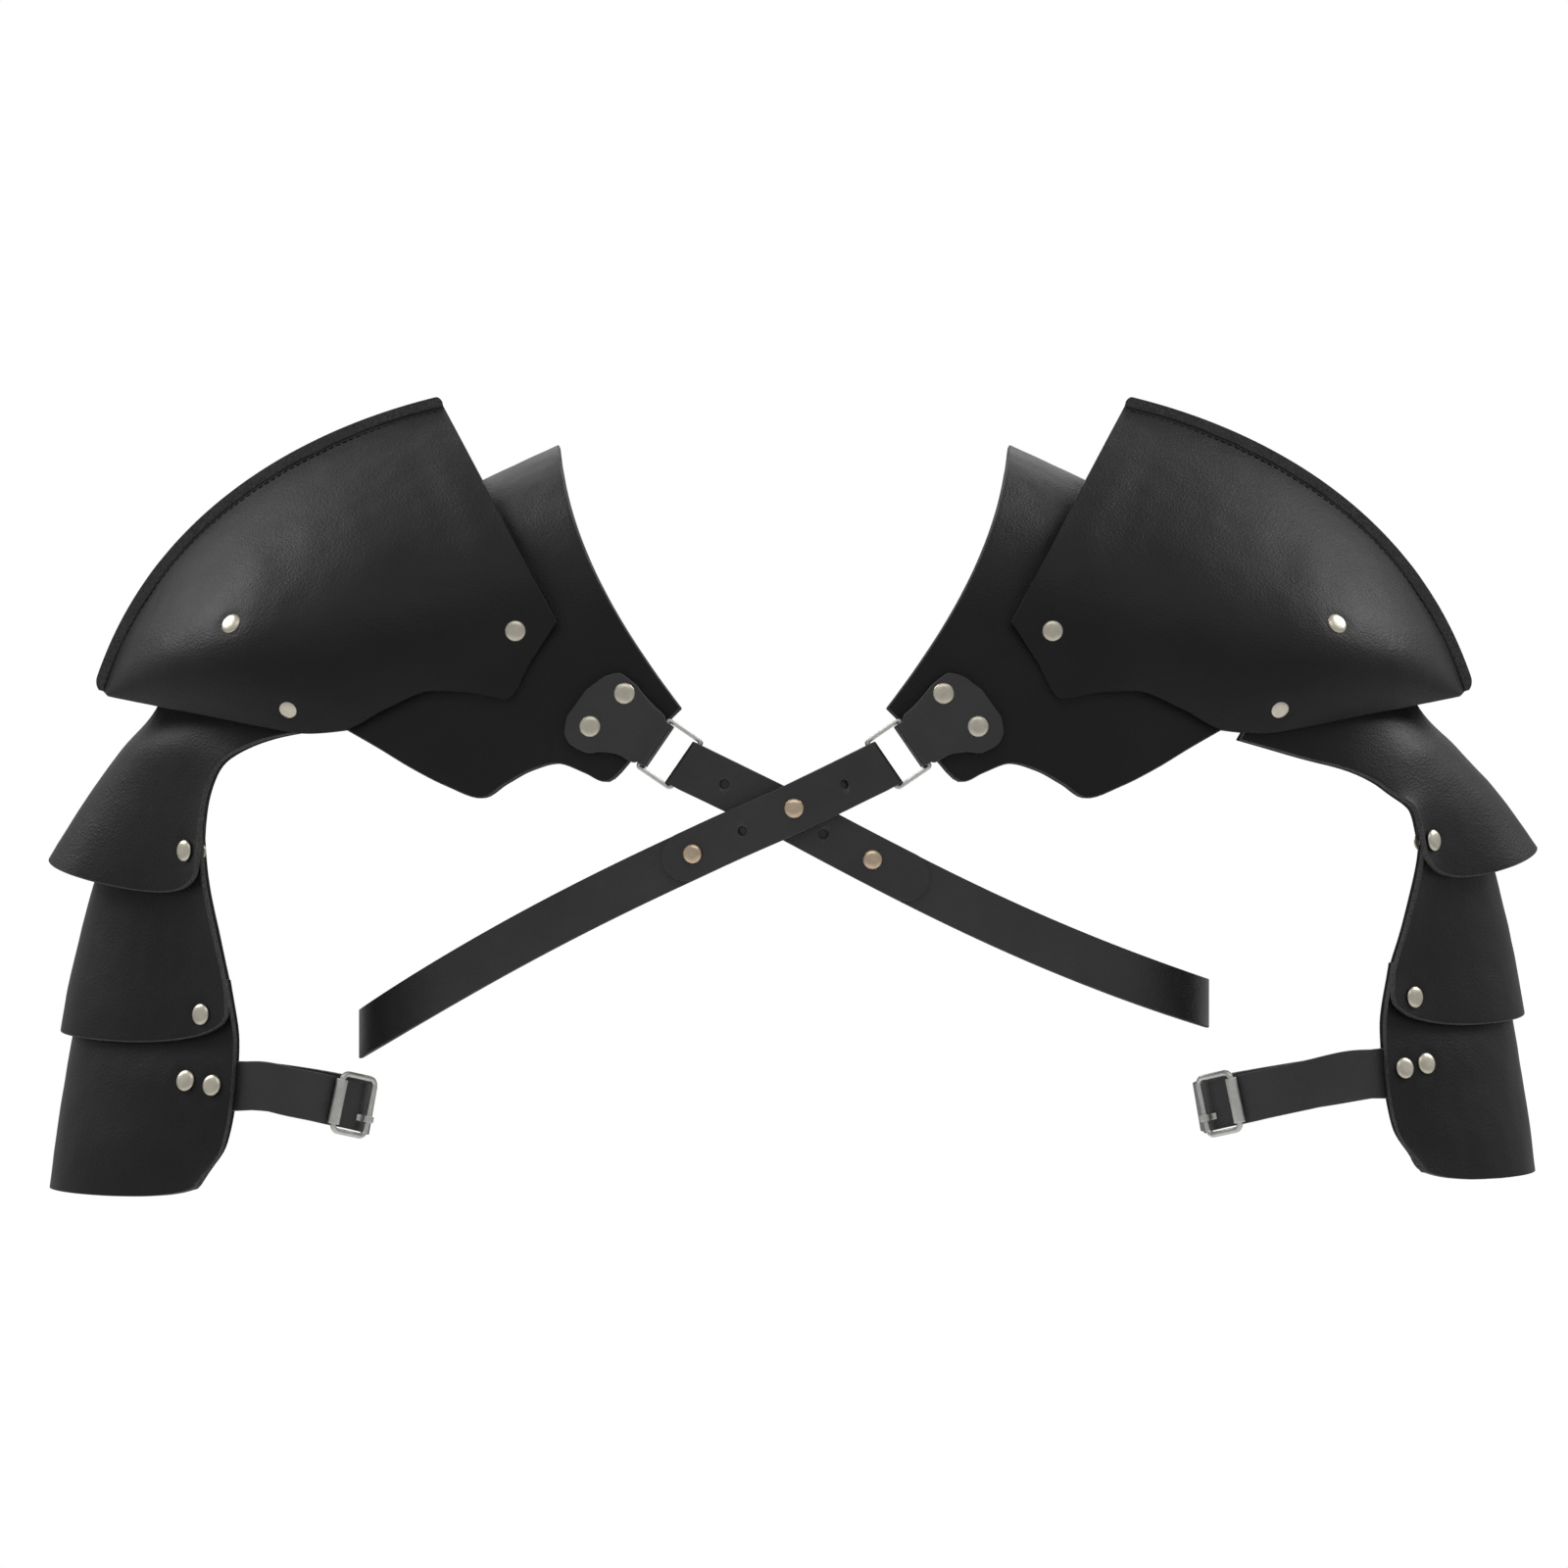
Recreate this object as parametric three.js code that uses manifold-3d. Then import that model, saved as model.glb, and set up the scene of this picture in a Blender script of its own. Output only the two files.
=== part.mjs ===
// Pair of leather pauldrons on a crossed chest harness, in the form they take when worn.
// Millimetres. X runs across the shoulders, -Y is the front and +Z is up. The origin lies
// midway between the two shoulders, on the level where the harness sits on them.
// Each pauldron is shaped for the left shoulder, where +X points outward, and is mirrored
// for the right one. "Right" and "left" are the wearer's.

import * as THREE from 'three';
import { mergeVertices } from 'three/addons/utils/BufferGeometryUtils.js';
import Module from 'manifold-3d';

const wasm = await Module();
wasm.setup();

// Driving dimensions

const PLATE = 2.2;             // thickness of the armour leather
const STRAP = 1.7;             // thickness of the strap leather
const GAP = 0.4;               // clearance between pieces that lie on each other
const STRAP_WIDTH = 20;
const STRAP_LAYER_GAP = 0.35;

const GIRTH_HALF = 290;        // ellipse round both shoulders, seen from above
const GIRTH_DEPTH = 98;
const TORSO_HALF = 172;        // ellipse of the chest below the arms
const TORSO_DEPTH = 100;
const ARM_REACH = 301;         // middle plane to the widest point of the lames

const YOKE_NECK_X = 92;        // top of the neck edge
const YOKE_NECK_Z = 18.6;
const YOKE_CREST_REACH = 107;  // neck edge to outer edge, along the shoulder
const YOKE_CREST_FALL = 48;
const YOKE_CREST_BOW = 3;
const YOKE_ROUND = 90;         // height over which the plate turns from flat to upright
const YOKE_HEM_X = 41.8;       // inner end of the hem
const YOKE_HEM_REACH = 138.2;
const YOKE_HEM_DROP = 144.5;

const CAP_NECK_X = 140.2;      // neck end of the ridge
const CAP_NECK_Z = 38.6;
const CAP_LENGTH = 142;        // ridge, measured outward
const CAP_FALL = 119.5;        // ridge, measured down
const CAP_HEM_X = 92.6;        // inner corner of the lower edge
const CAP_HEM_REACH = 183.6;
const CAP_HEM_DROP = 138;
const CAP_TAPER_START = 200;   // from here outward the lower edge runs in to the tip
const CAP_TAPER_END = 279;
const SEAM_HEIGHT = 4.2;       // turned-up margin outside the stitches
const SEAM_GAP = 0.3;

const LAME_DROP = 290;         // level of the lowest lame edge, below the origin

const RIVET_HEAD = 8.8;        // diameters
const RIVET_SHANK = 3;
const RIVET_TAIL = 7;
const RIVET_HEAD_HEIGHT = 1.7;
const RIVET_TAIL_HEIGHT = 1.1;
const RIVET_HOLE = 5.1;        // across the corners of a square punch
const STUD_HEAD = 8.4;

const RING_LONG = 24.5;        // outside sizes
const RING_SHORT = 17.5;
const RING_WIRE = 1.8;
const RING_CORNER = 1.9;
const RING_ANGLE = 34.5;       // degrees that its short axis climbs outward

const TAB_ANGLE = 35.5;        // degrees that the tab climbs outward
const TAB_LENGTH = 37;
const TAB_WIDTH = 40;

const FOLD_CLEAR = 2.4;        // room between the two layers round a ring's bar
const CHEST_FOLD_X = 41.8;     // where the strap folds round the ring
const CHEST_CROSS_Z = -131.8;  // level at which the straps cross
const CHEST_SLOPE = 0.49;
const CHEST_SWAY_BACK = 0.4;   // share of a strap's sway that it first takes the other way
const CHEST_REAR_RETURN = 26;  // length folded over round the rear ring
const CHEST_HOLE_PITCH = 22.3;
const CHEST_FIRST_HOLE = 20;   // from the fold
const CHEST_HOLE = 4;
const CROSS_LIFT = 7;          // the left strap climbs over the right one and its stud
const CROSS_LIFT_REAR = 2.9;
const CROSS_FLAT = 14;
const CROSS_RUN = 30;

const BUCKLE_LENGTH = 20;      // along the strap, outside
const BUCKLE_HEIGHT = 26;
const BUCKLE_WIRE = 2.4;
const BUCKLE_CORNER = 4;
const ROLLER_DIAMETER = 4.8;
const ROLLER_BORE = 3.1;
const ROLLER_LENGTH = 18.5;
const PRONG_WIDTH = 2.6;
const PRONG_THICKNESS = 1;
const PRONG_OFFSET = -4.5;     // below the middle of the strap
const PRONG_REACH = 11;

// How the two sides are worn: the arm plates of the left one are turned further back and
// lifted. tip is the chest strap's free end from the fold, and sway how far the strap
// strays from a straight line where it passes under the other arm.
const SIDES = [
  { name: 'right', sign: -1, frontShift: 0, sideShift: 0, lift: 0, tip: 112, sway: -6.5,
    over: false },
  { name: 'left', sign: 1, frontShift: 21, sideShift: 7, lift: 7, tip: 100, sway: 6,
    over: true },
];

// Colours and finishes

const armourLeather = { color: 0x2b2b2d, roughness: 0.55, metalness: 0 };
const strapLeather = { color: 0x353537, roughness: 0.5, metalness: 0 };
const chrome = { color: 0xc9c9c4, roughness: 0.18, metalness: 1 };
const nickel = { color: 0xb6ad9c, roughness: 0.25, metalness: 1 };
const brass = { color: 0xb89a84, roughness: 0.3, metalness: 1 };

// Tables. Lengths are shares of the sizes above.

// Yoke sections from the neck edge outward: crest is a share of YOKE_CREST_REACH, out of
// YOKE_HEM_REACH and down of YOKE_HEM_DROP.
const YOKE_SECTIONS = [
  { crest: 0.00, out: 0.000, down: 0.745 },
  { crest: 0.10, out: 0.111, down: 0.849 },
  { crest: 0.19, out: 0.220, down: 0.954 },
  { crest: 0.26, out: 0.286, down: 0.928 },
  { crest: 0.34, out: 0.366, down: 0.902 },
  { crest: 0.42, out: 0.446, down: 0.922 },
  { crest: 0.50, out: 0.519, down: 0.960 },
  { crest: 0.58, out: 0.592, down: 1.000 },
  { crest: 0.69, out: 0.694, down: 0.965 },
  { crest: 0.80, out: 0.796, down: 0.915 },
  { crest: 0.90, out: 0.898, down: 0.856 },
  { crest: 1.00, out: 1.000, down: 0.800 },
];
const YOKE_ROWS = [0, 0.05, 0.17, 0.38, 0.68, 1];

// Cap sections from the neck edge to the outer tip: ridge is a share along the ridge, out
// of CAP_HEM_REACH, down of CAP_HEM_DROP, belly the share of the height at which the panel
// stands furthest out, and tuck how much of its depth it gives back below that.
const CAP_SECTIONS = [
  { ridge: 0.00, out: 0.000, down: 0.672, belly: 0.98, tuck: 0.00 },
  { ridge: 0.05, out: 0.056, down: 0.786, belly: 0.86, tuck: 0.00 },
  { ridge: 0.11, out: 0.112, down: 0.899, belly: 0.78, tuck: 0.00 },
  { ridge: 0.19, out: 0.199, down: 0.879, belly: 0.81, tuck: 0.01 },
  { ridge: 0.27, out: 0.276, down: 0.875, belly: 0.82, tuck: 0.03 },
  { ridge: 0.37, out: 0.374, down: 0.925, belly: 0.79, tuck: 0.06 },
  { ridge: 0.47, out: 0.472, down: 0.991, belly: 0.75, tuck: 0.09 },
  { ridge: 0.56, out: 0.559, down: 1.000, belly: 0.72, tuck: 0.10 },
  { ridge: 0.67, out: 0.668, down: 0.977, belly: 0.71, tuck: 0.10 },
  { ridge: 0.79, out: 0.798, down: 0.941, belly: 0.72, tuck: 0.10 },
  { ridge: 0.91, out: 0.918, down: 0.912, belly: 0.76, tuck: 0.06 },
  { ridge: 1.00, out: 1.000, down: 0.890, belly: 0.85, tuck: 0.00 },
];
const CAP_ROWS = [0, 0.08, 0.21, 0.42, 0.7, 1];

// Lame sections from the upper edge down. The front edge is at (front, frontDepth,
// frontDown) and the widest point at (side, sideDepth, sideDown), as shares of ARM_REACH,
// GIRTH_DEPTH and LAME_DROP. turn is the way the leather faces at its front edge, in
// degrees from straight ahead, dip how far the edge sags between the two and rear how deep
// the back half is against the front. shift, frontLift and sideLift are the parts of a
// side's shifts and lift that it takes.
const LAMES = [
  {
    name: 'lame_1',
    rows: [
      { front: 0.612, frontDepth: 0.758, frontDown: 0.335, turn: 16, shift: 0.07, frontLift: -0.7,
        side: 0.815, sideDepth: 0.00, sideDown: 0.172, sideLift: 0, dip: 0.000, rear: 0.92 },
      { front: 0.700, frontDepth: 0.667, frontDown: 0.350, turn: 32, shift: 0.45, frontLift: -1.4,
        side: 0.850, sideDepth: 0.06, sideDown: 0.303, sideLift: 0, dip: 0.000, rear: 0.80 },
      { front: 0.765, frontDepth: 0.590, frontDown: 0.384, turn: 46, shift: 0.70, frontLift: -1.4,
        side: 0.897, sideDepth: 0.12, sideDown: 0.362, sideLift: 0, dip: 0.000, rear: 0.72 },
      { front: 0.790, frontDepth: 0.553, frontDown: 0.448, turn: 58, shift: 0.95, frontLift: 0,
        side: 0.944, sideDepth: 0.18, sideDown: 0.428, sideLift: 0.3, dip: 0.010, rear: 0.74 },
      { front: 0.797, frontDepth: 0.550, frontDown: 0.524, turn: 61, shift: 1.05, frontLift: 1.2,
        side: 1.000, sideDepth: 0.22, sideDown: 0.521, sideLift: 0.7, dip: 0.044, rear: 0.70 },
    ],
  },
  {
    name: 'lame_2',
    rows: [
      { front: 0.795, frontDepth: 0.450, frontDown: 0.441, turn: 61, shift: 0.92, frontLift: 0.6,
        side: 0.887, sideDepth: 0.18, sideDown: 0.431, sideLift: 0, dip: 0.000, rear: 0.65 },
      { front: 0.789, frontDepth: 0.494, frontDown: 0.538, turn: 60, shift: 1.12, frontLift: 1,
        side: 0.930, sideDepth: 0.20, sideDown: 0.528, sideLift: 1, dip: 0.000, rear: 0.69 },
      { front: 0.772, frontDepth: 0.540, frontDown: 0.631, turn: 55, shift: 1.08, frontLift: 1,
        side: 0.957, sideDepth: 0.22, sideDown: 0.628, sideLift: 1, dip: 0.000, rear: 0.69 },
      { front: 0.757, frontDepth: 0.580, frontDown: 0.707, turn: 49, shift: 1.00, frontLift: 1,
        side: 0.975, sideDepth: 0.24, sideDown: 0.707, sideLift: 1, dip: 0.005, rear: 0.68 },
      { front: 0.756, frontDepth: 0.591, frontDown: 0.738, turn: 48, shift: 1.00, frontLift: 1,
        side: 0.984, sideDepth: 0.24, sideDown: 0.762, sideLift: 1, dip: 0.022, rear: 0.68 },
    ],
  },
  {
    name: 'lame_3',
    rows: [
      { front: 0.758, frontDepth: 0.509, frontDown: 0.690, turn: 50, shift: 1.00, frontLift: 1,
        side: 0.947, sideDepth: 0.24, sideDown: 0.690, sideLift: 1, dip: 0.000, rear: 0.63 },
      { front: 0.745, frontDepth: 0.561, frontDown: 0.779, turn: 43, shift: 1.00, frontLift: 1,
        side: 0.968, sideDepth: 0.25, sideDown: 0.772, sideLift: 1, dip: 0.000, rear: 0.63 },
      { front: 0.748, frontDepth: 0.581, frontDown: 0.845, turn: 36, shift: 1.00, frontLift: 1,
        side: 0.979, sideDepth: 0.26, sideDown: 0.841, sideLift: 1, dip: 0.000, rear: 0.66 },
      { front: 0.762, frontDepth: 0.575, frontDown: 0.924, turn: 34, shift: 1.00, frontLift: 1,
        side: 0.989, sideDepth: 0.26, sideDown: 0.910, sideLift: 1, dip: 0.000, rear: 0.66 },
      { front: 0.795, frontDepth: 0.535, frontDown: 0.974, turn: 40, shift: 1.00, frontLift: 1,
        side: 0.998, sideDepth: 0.26, sideDown: 0.983, sideLift: 1, dip: 0.014, rear: 0.64 },
    ],
  },
];
const LAME_COLUMNS = [0, 0.12, 0.26, 0.42, 0.6, 0.8, 1];
const LAME_FRONT_PULL = 0.33;  // how far each end's direction holds, as a share of the chord
const LAME_SIDE_PULL = 0.36;

// Arm strap between the lame's two edges, seen from above: shares of ARM_REACH outward, of
// GIRTH_DEPTH back from the middle and of LAME_DROP down. shift as for the lames.
const ARM_STRAP_ROUTE = [
  { out: 0.704, back: -0.622, down: 0.838, shift: 0.9 },
  { out: 0.668, back: -0.668, down: 0.846, shift: 0.6 },
  { out: 0.634, back: -0.674, down: 0.853, shift: 0.25 },
  { out: 0.613, back: -0.650, down: 0.858, shift: 0.1 },
  { out: 0.590, back: -0.591, down: 0.863, shift: 0.1 },
  { out: 0.570, back: -0.530, down: 0.868, shift: 0.1 },
  { out: 0.562, back: -0.450, down: 0.871, shift: 0.1 },
  { out: 0.560, back: -0.240, down: 0.873, shift: 0.1 },
  { out: 0.561, back: 0.050, down: 0.872, shift: 0.1 },
  { out: 0.565, back: 0.310, down: 0.868, shift: 0 },
  { out: 0.595, back: 0.545, down: 0.860, shift: 0 },
  { out: 0.650, back: 0.720, down: 0.850, shift: 0 },
  { out: 0.710, back: 0.790, down: 0.842, shift: 0.4 },
];
const ARM_STRAP_TILT = 0.187;  // slope of the loop, down towards the chest
const ARM_STRAP_LIFT = 0.7;    // part of the plates' lift that it takes
const ARM_STRAP_UNDER_FRONT = [0.3, 0.2, 0.1, 0.02];
const ARM_STRAP_UNDER_REAR = [1.96, 1.9, 1.82, 1.74];
const BUCKLE_ROW = 4;          // the route's point at the middle of the buckle

// Ring tab from the fold to its lobed end: along is a share of TAB_LENGTH, low and high
// are its two edges as shares of TAB_WIDTH.
const TAB_OUTLINE = [
  { along: 0.00, low: -0.252, high: 0.252 },
  { along: 0.09, low: -0.252, high: 0.252 },
  { along: 0.12, low: -0.290, high: 0.285 },
  { along: 0.28, low: -0.310, high: 0.300 },
  { along: 0.46, low: -0.345, high: 0.380 },
  { along: 0.60, low: -0.380, high: 0.480 },
  { along: 0.78, low: -0.385, high: 0.505 },
  { along: 0.90, low: -0.290, high: 0.460 },
  { along: 1.00, low: -0.070, high: 0.330 },
];
const REAR_TAB_OUTLINE = [
  { along: 0.00, low: -0.252, high: 0.252 },
  { along: 0.09, low: -0.252, high: 0.252 },
  { along: 0.36, low: -0.300, high: 0.300 },
  { along: 0.72, low: -0.300, high: 0.300 },
  { along: 0.84, low: -0.180, high: 0.180 },
];
const TAB_RIVETS = [
  { along: 0.63, across: -0.238 },
  { along: 0.73, across: 0.238 },
];

// Small maths

const rad = THREE.MathUtils.degToRad;
const mix = THREE.MathUtils.lerp;
const vec = (x, y, z) => new THREE.Vector3(x, y, z);
const clamp01 = (t) => Math.min(1, Math.max(0, t));
const ease = (t) => clamp01(t) ** 2 * (3 - 2 * clamp01(t));

const girthDepth = (x) => GIRTH_DEPTH * Math.sqrt(1 - (x / GIRTH_HALF) ** 2);
const torsoDepth = (x) => TORSO_DEPTH * Math.sqrt(Math.max(0, 1 - (x / TORSO_HALF) ** 2));

const spaced = (from, to, count) => Array.from({ length: count + 1 }, (_, k) => (
  mix(from, to, k / count)));

function cubic(p0, p1, p2, p3, t) {
  const s = 1 - t;
  return s ** 3 * p0 + 3 * s * s * t * p1 + 3 * s * t * t * p2 + t ** 3 * p3;
}

// Value of a table column at a place between its rows, counted from 0 to 1 over the table.
function column(table, name, at) {
  const place = clamp01(at) * (table.length - 1);
  const i = Math.min(table.length - 2, Math.floor(place));
  return mix(table[i][name], table[i + 1][name], place - i);
}

// Solids

function meshGeometry(positions, triangles) {
  const geometry = new THREE.BufferGeometry();
  geometry.setAttribute('position', new THREE.Float32BufferAttribute(positions, 3));
  geometry.setIndex(triangles);
  return facingOut(geometry);
}

function signedVolume(geometry) {
  const index = geometry.index.array;
  const p = geometry.attributes.position;
  const [a, b, c] = [vec(), vec(), vec()];
  let sum = 0;
  for (let i = 0; i < index.length; i += 3) {
    a.fromBufferAttribute(p, index[i]);
    b.fromBufferAttribute(p, index[i + 1]);
    c.fromBufferAttribute(p, index[i + 2]);
    sum += a.dot(b.cross(c));
  }
  return sum / 6;
}

function facingOut(geometry) {
  if (signedVolume(geometry) < 0) {
    const index = geometry.index.array;
    for (let i = 0; i < index.length; i += 3) {
      [index[i + 1], index[i + 2]] = [index[i + 2], index[i + 1]];
    }
  }
  return geometry;
}

// A leather sheet from a grid of points on its outer face. The inner face lies one
// thickness behind it and a rim closes the edges. outward gives the side the grid faces.
function sheet(grid, thickness, outward) {
  const rows = grid.length;
  const columns = grid[0].length;
  const faceNormals = grid.map(() => []);
  for (let j = 0; j < rows - 1; j += 1) {
    for (let i = 0; i < columns - 1; i += 1) {
      const along = grid[j + 1][i + 1].clone().sub(grid[j][i]);
      const across = grid[j + 1][i].clone().sub(grid[j][i + 1]);
      faceNormals[j][i] = along.cross(across).normalize().multiplyScalar(outward);
    }
  }
  const inner = grid.map((row, j) => row.map((point, i) => {
    const around = [[j - 1, i - 1], [j - 1, i], [j, i - 1], [j, i]]
      .filter(([r, c]) => r >= 0 && c >= 0 && r < rows - 1 && c < columns - 1)
      .map(([r, c]) => faceNormals[r][c]);
    const normal = around.reduce((sum, n) => sum.add(n), vec(0, 0, 0)).normalize();
    const spread = around.reduce((sum, n) => sum + n.dot(normal), 0) / around.length;
    return point.clone().addScaledVector(normal, -thickness / Math.max(0.6, spread));
  }));
  const points = [...grid.flat(), ...inner.flat()];
  const outerAt = (j, i) => j * columns + i;
  const innerAt = (j, i) => (rows + j) * columns + i;
  const triangles = [];
  const quad = (a, b, c, d) => triangles.push(a, b, c, a, c, d);
  for (let j = 0; j < rows - 1; j += 1) {
    for (let i = 0; i < columns - 1; i += 1) {
      quad(outerAt(j, i), outerAt(j, i + 1), outerAt(j + 1, i + 1), outerAt(j + 1, i));
      quad(innerAt(j, i), innerAt(j + 1, i), innerAt(j + 1, i + 1), innerAt(j, i + 1));
    }
    quad(outerAt(j, 0), outerAt(j + 1, 0), innerAt(j + 1, 0), innerAt(j, 0));
    const last = columns - 1;
    quad(outerAt(j + 1, last), outerAt(j, last), innerAt(j, last), innerAt(j + 1, last));
  }
  for (let i = 0; i < columns - 1; i += 1) {
    quad(outerAt(0, i + 1), outerAt(0, i), innerAt(0, i), innerAt(0, i + 1));
    const last = rows - 1;
    quad(outerAt(last, i), outerAt(last, i + 1), innerAt(last, i + 1), innerAt(last, i));
  }
  return meshGeometry(points.flatMap((p) => p.toArray()), triangles);
}

// A flat strip through stations, each with its centre, width and thickness directions and
// half width.
function strip(stations, thickness) {
  const positions = [];
  const triangles = [];
  const quad = (a, b, c, d) => triangles.push(a, b, c, a, c, d);
  for (const { centre, across, up, half } of stations) {
    for (const [w, h] of [[-1, -1], [1, -1], [1, 1], [-1, 1]]) {
      const corner = centre.clone().addScaledVector(across, w * half);
      positions.push(...corner.addScaledVector(up, (h * thickness) / 2).toArray());
    }
  }
  const last = (stations.length - 1) * 4;
  for (let base = 0; base < last; base += 4) {
    for (let k = 0; k < 4; k += 1) {
      const next = (k + 1) % 4;
      quad(base + k, base + next, base + 4 + next, base + 4 + k);
    }
  }
  quad(3, 2, 1, 0);
  quad(last, last + 1, last + 2, last + 3);
  return meshGeometry(positions, triangles);
}

// Round wire along a closed loop of points that lie in one plane.
function wireLoop(points, normal, radius, sides) {
  const positions = [];
  const triangles = [];
  const count = points.length;
  points.forEach((point, k) => {
    const ahead = points[(k + 1) % count].clone().sub(point).normalize();
    const behind = point.clone().sub(points[(k + count - 1) % count]).normalize();
    const outward = ahead.clone().add(behind).normalize().cross(normal);
    const mitre = radius / Math.sqrt((1 + ahead.dot(behind)) / 2);
    for (let s = 0; s < sides; s += 1) {
      const angle = ((s + 0.5) / sides) * Math.PI * 2;
      const ring = point.clone().addScaledVector(outward, mitre * Math.cos(angle));
      positions.push(...ring.addScaledVector(normal, radius * Math.sin(angle)).toArray());
    }
  });
  for (let k = 0; k < count; k += 1) {
    for (let s = 0; s < sides; s += 1) {
      const a = k * sides + s;
      const b = k * sides + ((s + 1) % sides);
      const c = ((k + 1) % count) * sides + ((s + 1) % sides);
      const d = ((k + 1) % count) * sides + s;
      triangles.push(a, b, c, a, c, d);
    }
  }
  return meshGeometry(positions, triangles);
}

// Centre line of a rectangle with round corners, in the plane of two directions.
function roundedLoop(centre, long, short, lengthLong, lengthShort, corner, steps) {
  const points = [];
  const halfLong = lengthLong / 2 - corner;
  const halfShort = lengthShort / 2 - corner;
  for (const [a, b, start] of [[1, 1, 0], [-1, 1, 90], [-1, -1, 180], [1, -1, 270]]) {
    for (let k = 0; k <= steps; k += 1) {
      const angle = rad(start + (90 * k) / steps);
      points.push(centre.clone()
        .addScaledVector(long, a * halfLong + corner * Math.cos(angle))
        .addScaledVector(short, b * halfShort + corner * Math.sin(angle)));
    }
  }
  return points;
}

function toSolid(geometry) {
  const bare = geometry.clone();
  bare.deleteAttribute('normal');
  bare.deleteAttribute('uv');
  const merged = mergeVertices(bare, 1e-4);
  return new wasm.Manifold(new wasm.Mesh({
    numProp: 3,
    vertProperties: new Float32Array(merged.attributes.position.array),
    triVerts: new Uint32Array(merged.index.array),
  }));
}

function fromSolid(solid) {
  const mesh = solid.getMesh();
  return meshGeometry(Array.from(mesh.vertProperties), Array.from(mesh.triVerts));
}

const joined = (a, b) => fromSolid(toSolid(a).add(toSolid(b)));

// The same shape on the back of the wearer.
const behind = (geometry) => facingOut(geometry.clone().scale(1, -1, 1));

// A turn that points a geometry's own Y axis along a direction.
function alongDirection(geometry, direction, place) {
  const turn = new THREE.Quaternion().setFromUnitVectors(vec(0, 1, 0), direction);
  return geometry.applyQuaternion(turn).translate(place.x, place.y, place.z);
}

// Cuts holes through a geometry. Each hole has a place, a direction, a diameter, a number
// of sides and how far it reaches outward and inward.
function drilled(geometry, holes) {
  let solid = toSolid(geometry);
  for (const { place, direction, diameter, sides, out, deep } of holes) {
    const drill = new THREE.CylinderGeometry(diameter / 2, diameter / 2, out + deep, sides);
    drill.translate(0, (out - deep) / 2, 0);
    solid = solid.subtract(toSolid(alongDirection(drill, direction, place)));
  }
  return fromSolid(solid);
}

// Yoke

const crestZ = (x) => {
  const share = (x - YOKE_NECK_X) / YOKE_CREST_REACH;
  return YOKE_NECK_Z - YOKE_CREST_FALL * share - YOKE_CREST_BOW * share * Math.abs(share);
};

// Depth of the shoulder's outer face at a place seen from the front.
function shoulderDepth(x, z) {
  const share = clamp01((crestZ(x) - z) / YOKE_ROUND);
  return girthDepth(x) * Math.sqrt(1 - (1 - share) ** 2);
}

// The neck edge leaves the straight line between its ends by this much.
function neckBow(t) {
  const hemZ = YOKE_NECK_Z - YOKE_SECTIONS[0].down * YOKE_HEM_DROP;
  const width = YOKE_HEM_X - YOKE_NECK_X;
  const height = hemZ - YOKE_NECK_Z;
  return {
    x: width * (cubic(0, 0.06, 0.42, 1, t) - t),
    z: height * (cubic(0, 0.33, 0.65, 1, t) - t),
  };
}

// u runs outward, v from the front hem (-1) over the crest (0) to the back hem (1).
function yokePoint(u, v) {
  const t = Math.abs(v);
  const crestX = YOKE_NECK_X + column(YOKE_SECTIONS, 'crest', u) * YOKE_CREST_REACH;
  const hemX = YOKE_HEM_X + column(YOKE_SECTIONS, 'out', u) * YOKE_HEM_REACH;
  const hemZ = YOKE_NECK_Z - column(YOKE_SECTIONS, 'down', u) * YOKE_HEM_DROP;
  const bow = neckBow(t);
  const fade = (1 - u) ** 2;
  const x = mix(crestX, hemX, t) + fade * bow.x;
  const z = mix(crestZ(crestX), hemZ, t) + fade * bow.z;
  return vec(x, t === 0 ? 0 : Math.sign(v) * shoulderDepth(x, z), z);
}

function yokeGrid() {
  const rows = [...YOKE_ROWS.slice(1).reverse().map((t) => -t), ...YOKE_ROWS];
  const last = YOKE_SECTIONS.length - 1;
  return rows.map((v) => YOKE_SECTIONS.map((section, i) => yokePoint(i / last, v)));
}

// Cap

function capRidge(share) {
  return {
    x: CAP_NECK_X + CAP_LENGTH * cubic(0, 0.41, 0.85, 1, share),
    z: CAP_NECK_Z - CAP_FALL * cubic(0, 0.115, 0.41, 1, share),
  };
}

// Direction across the ridge, away from the shoulder, in the plane of the ridge.
function capRidgeOut(share) {
  const step = 0.01;
  const a = capRidge(clamp01(share - step));
  const b = capRidge(clamp01(share + step));
  return vec(a.z - b.z, 0, b.x - a.x).normalize();
}

// Depth of the cap's lower edge: it lies on the yoke, then runs in to the outer tip.
function capHemDepth(x) {
  const taper = clamp01((x - CAP_TAPER_START) / (CAP_TAPER_END - CAP_TAPER_START));
  return (girthDepth(x) + PLATE + 2 * GAP) * Math.sqrt(1 - taper * taper);
}

const bellied = (t, belly, tuck) => (t < belly
  ? 1 - ((belly - t) / belly) ** 2
  : 1 - tuck * ((t - belly) / (1 - belly)) ** 2);

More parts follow.
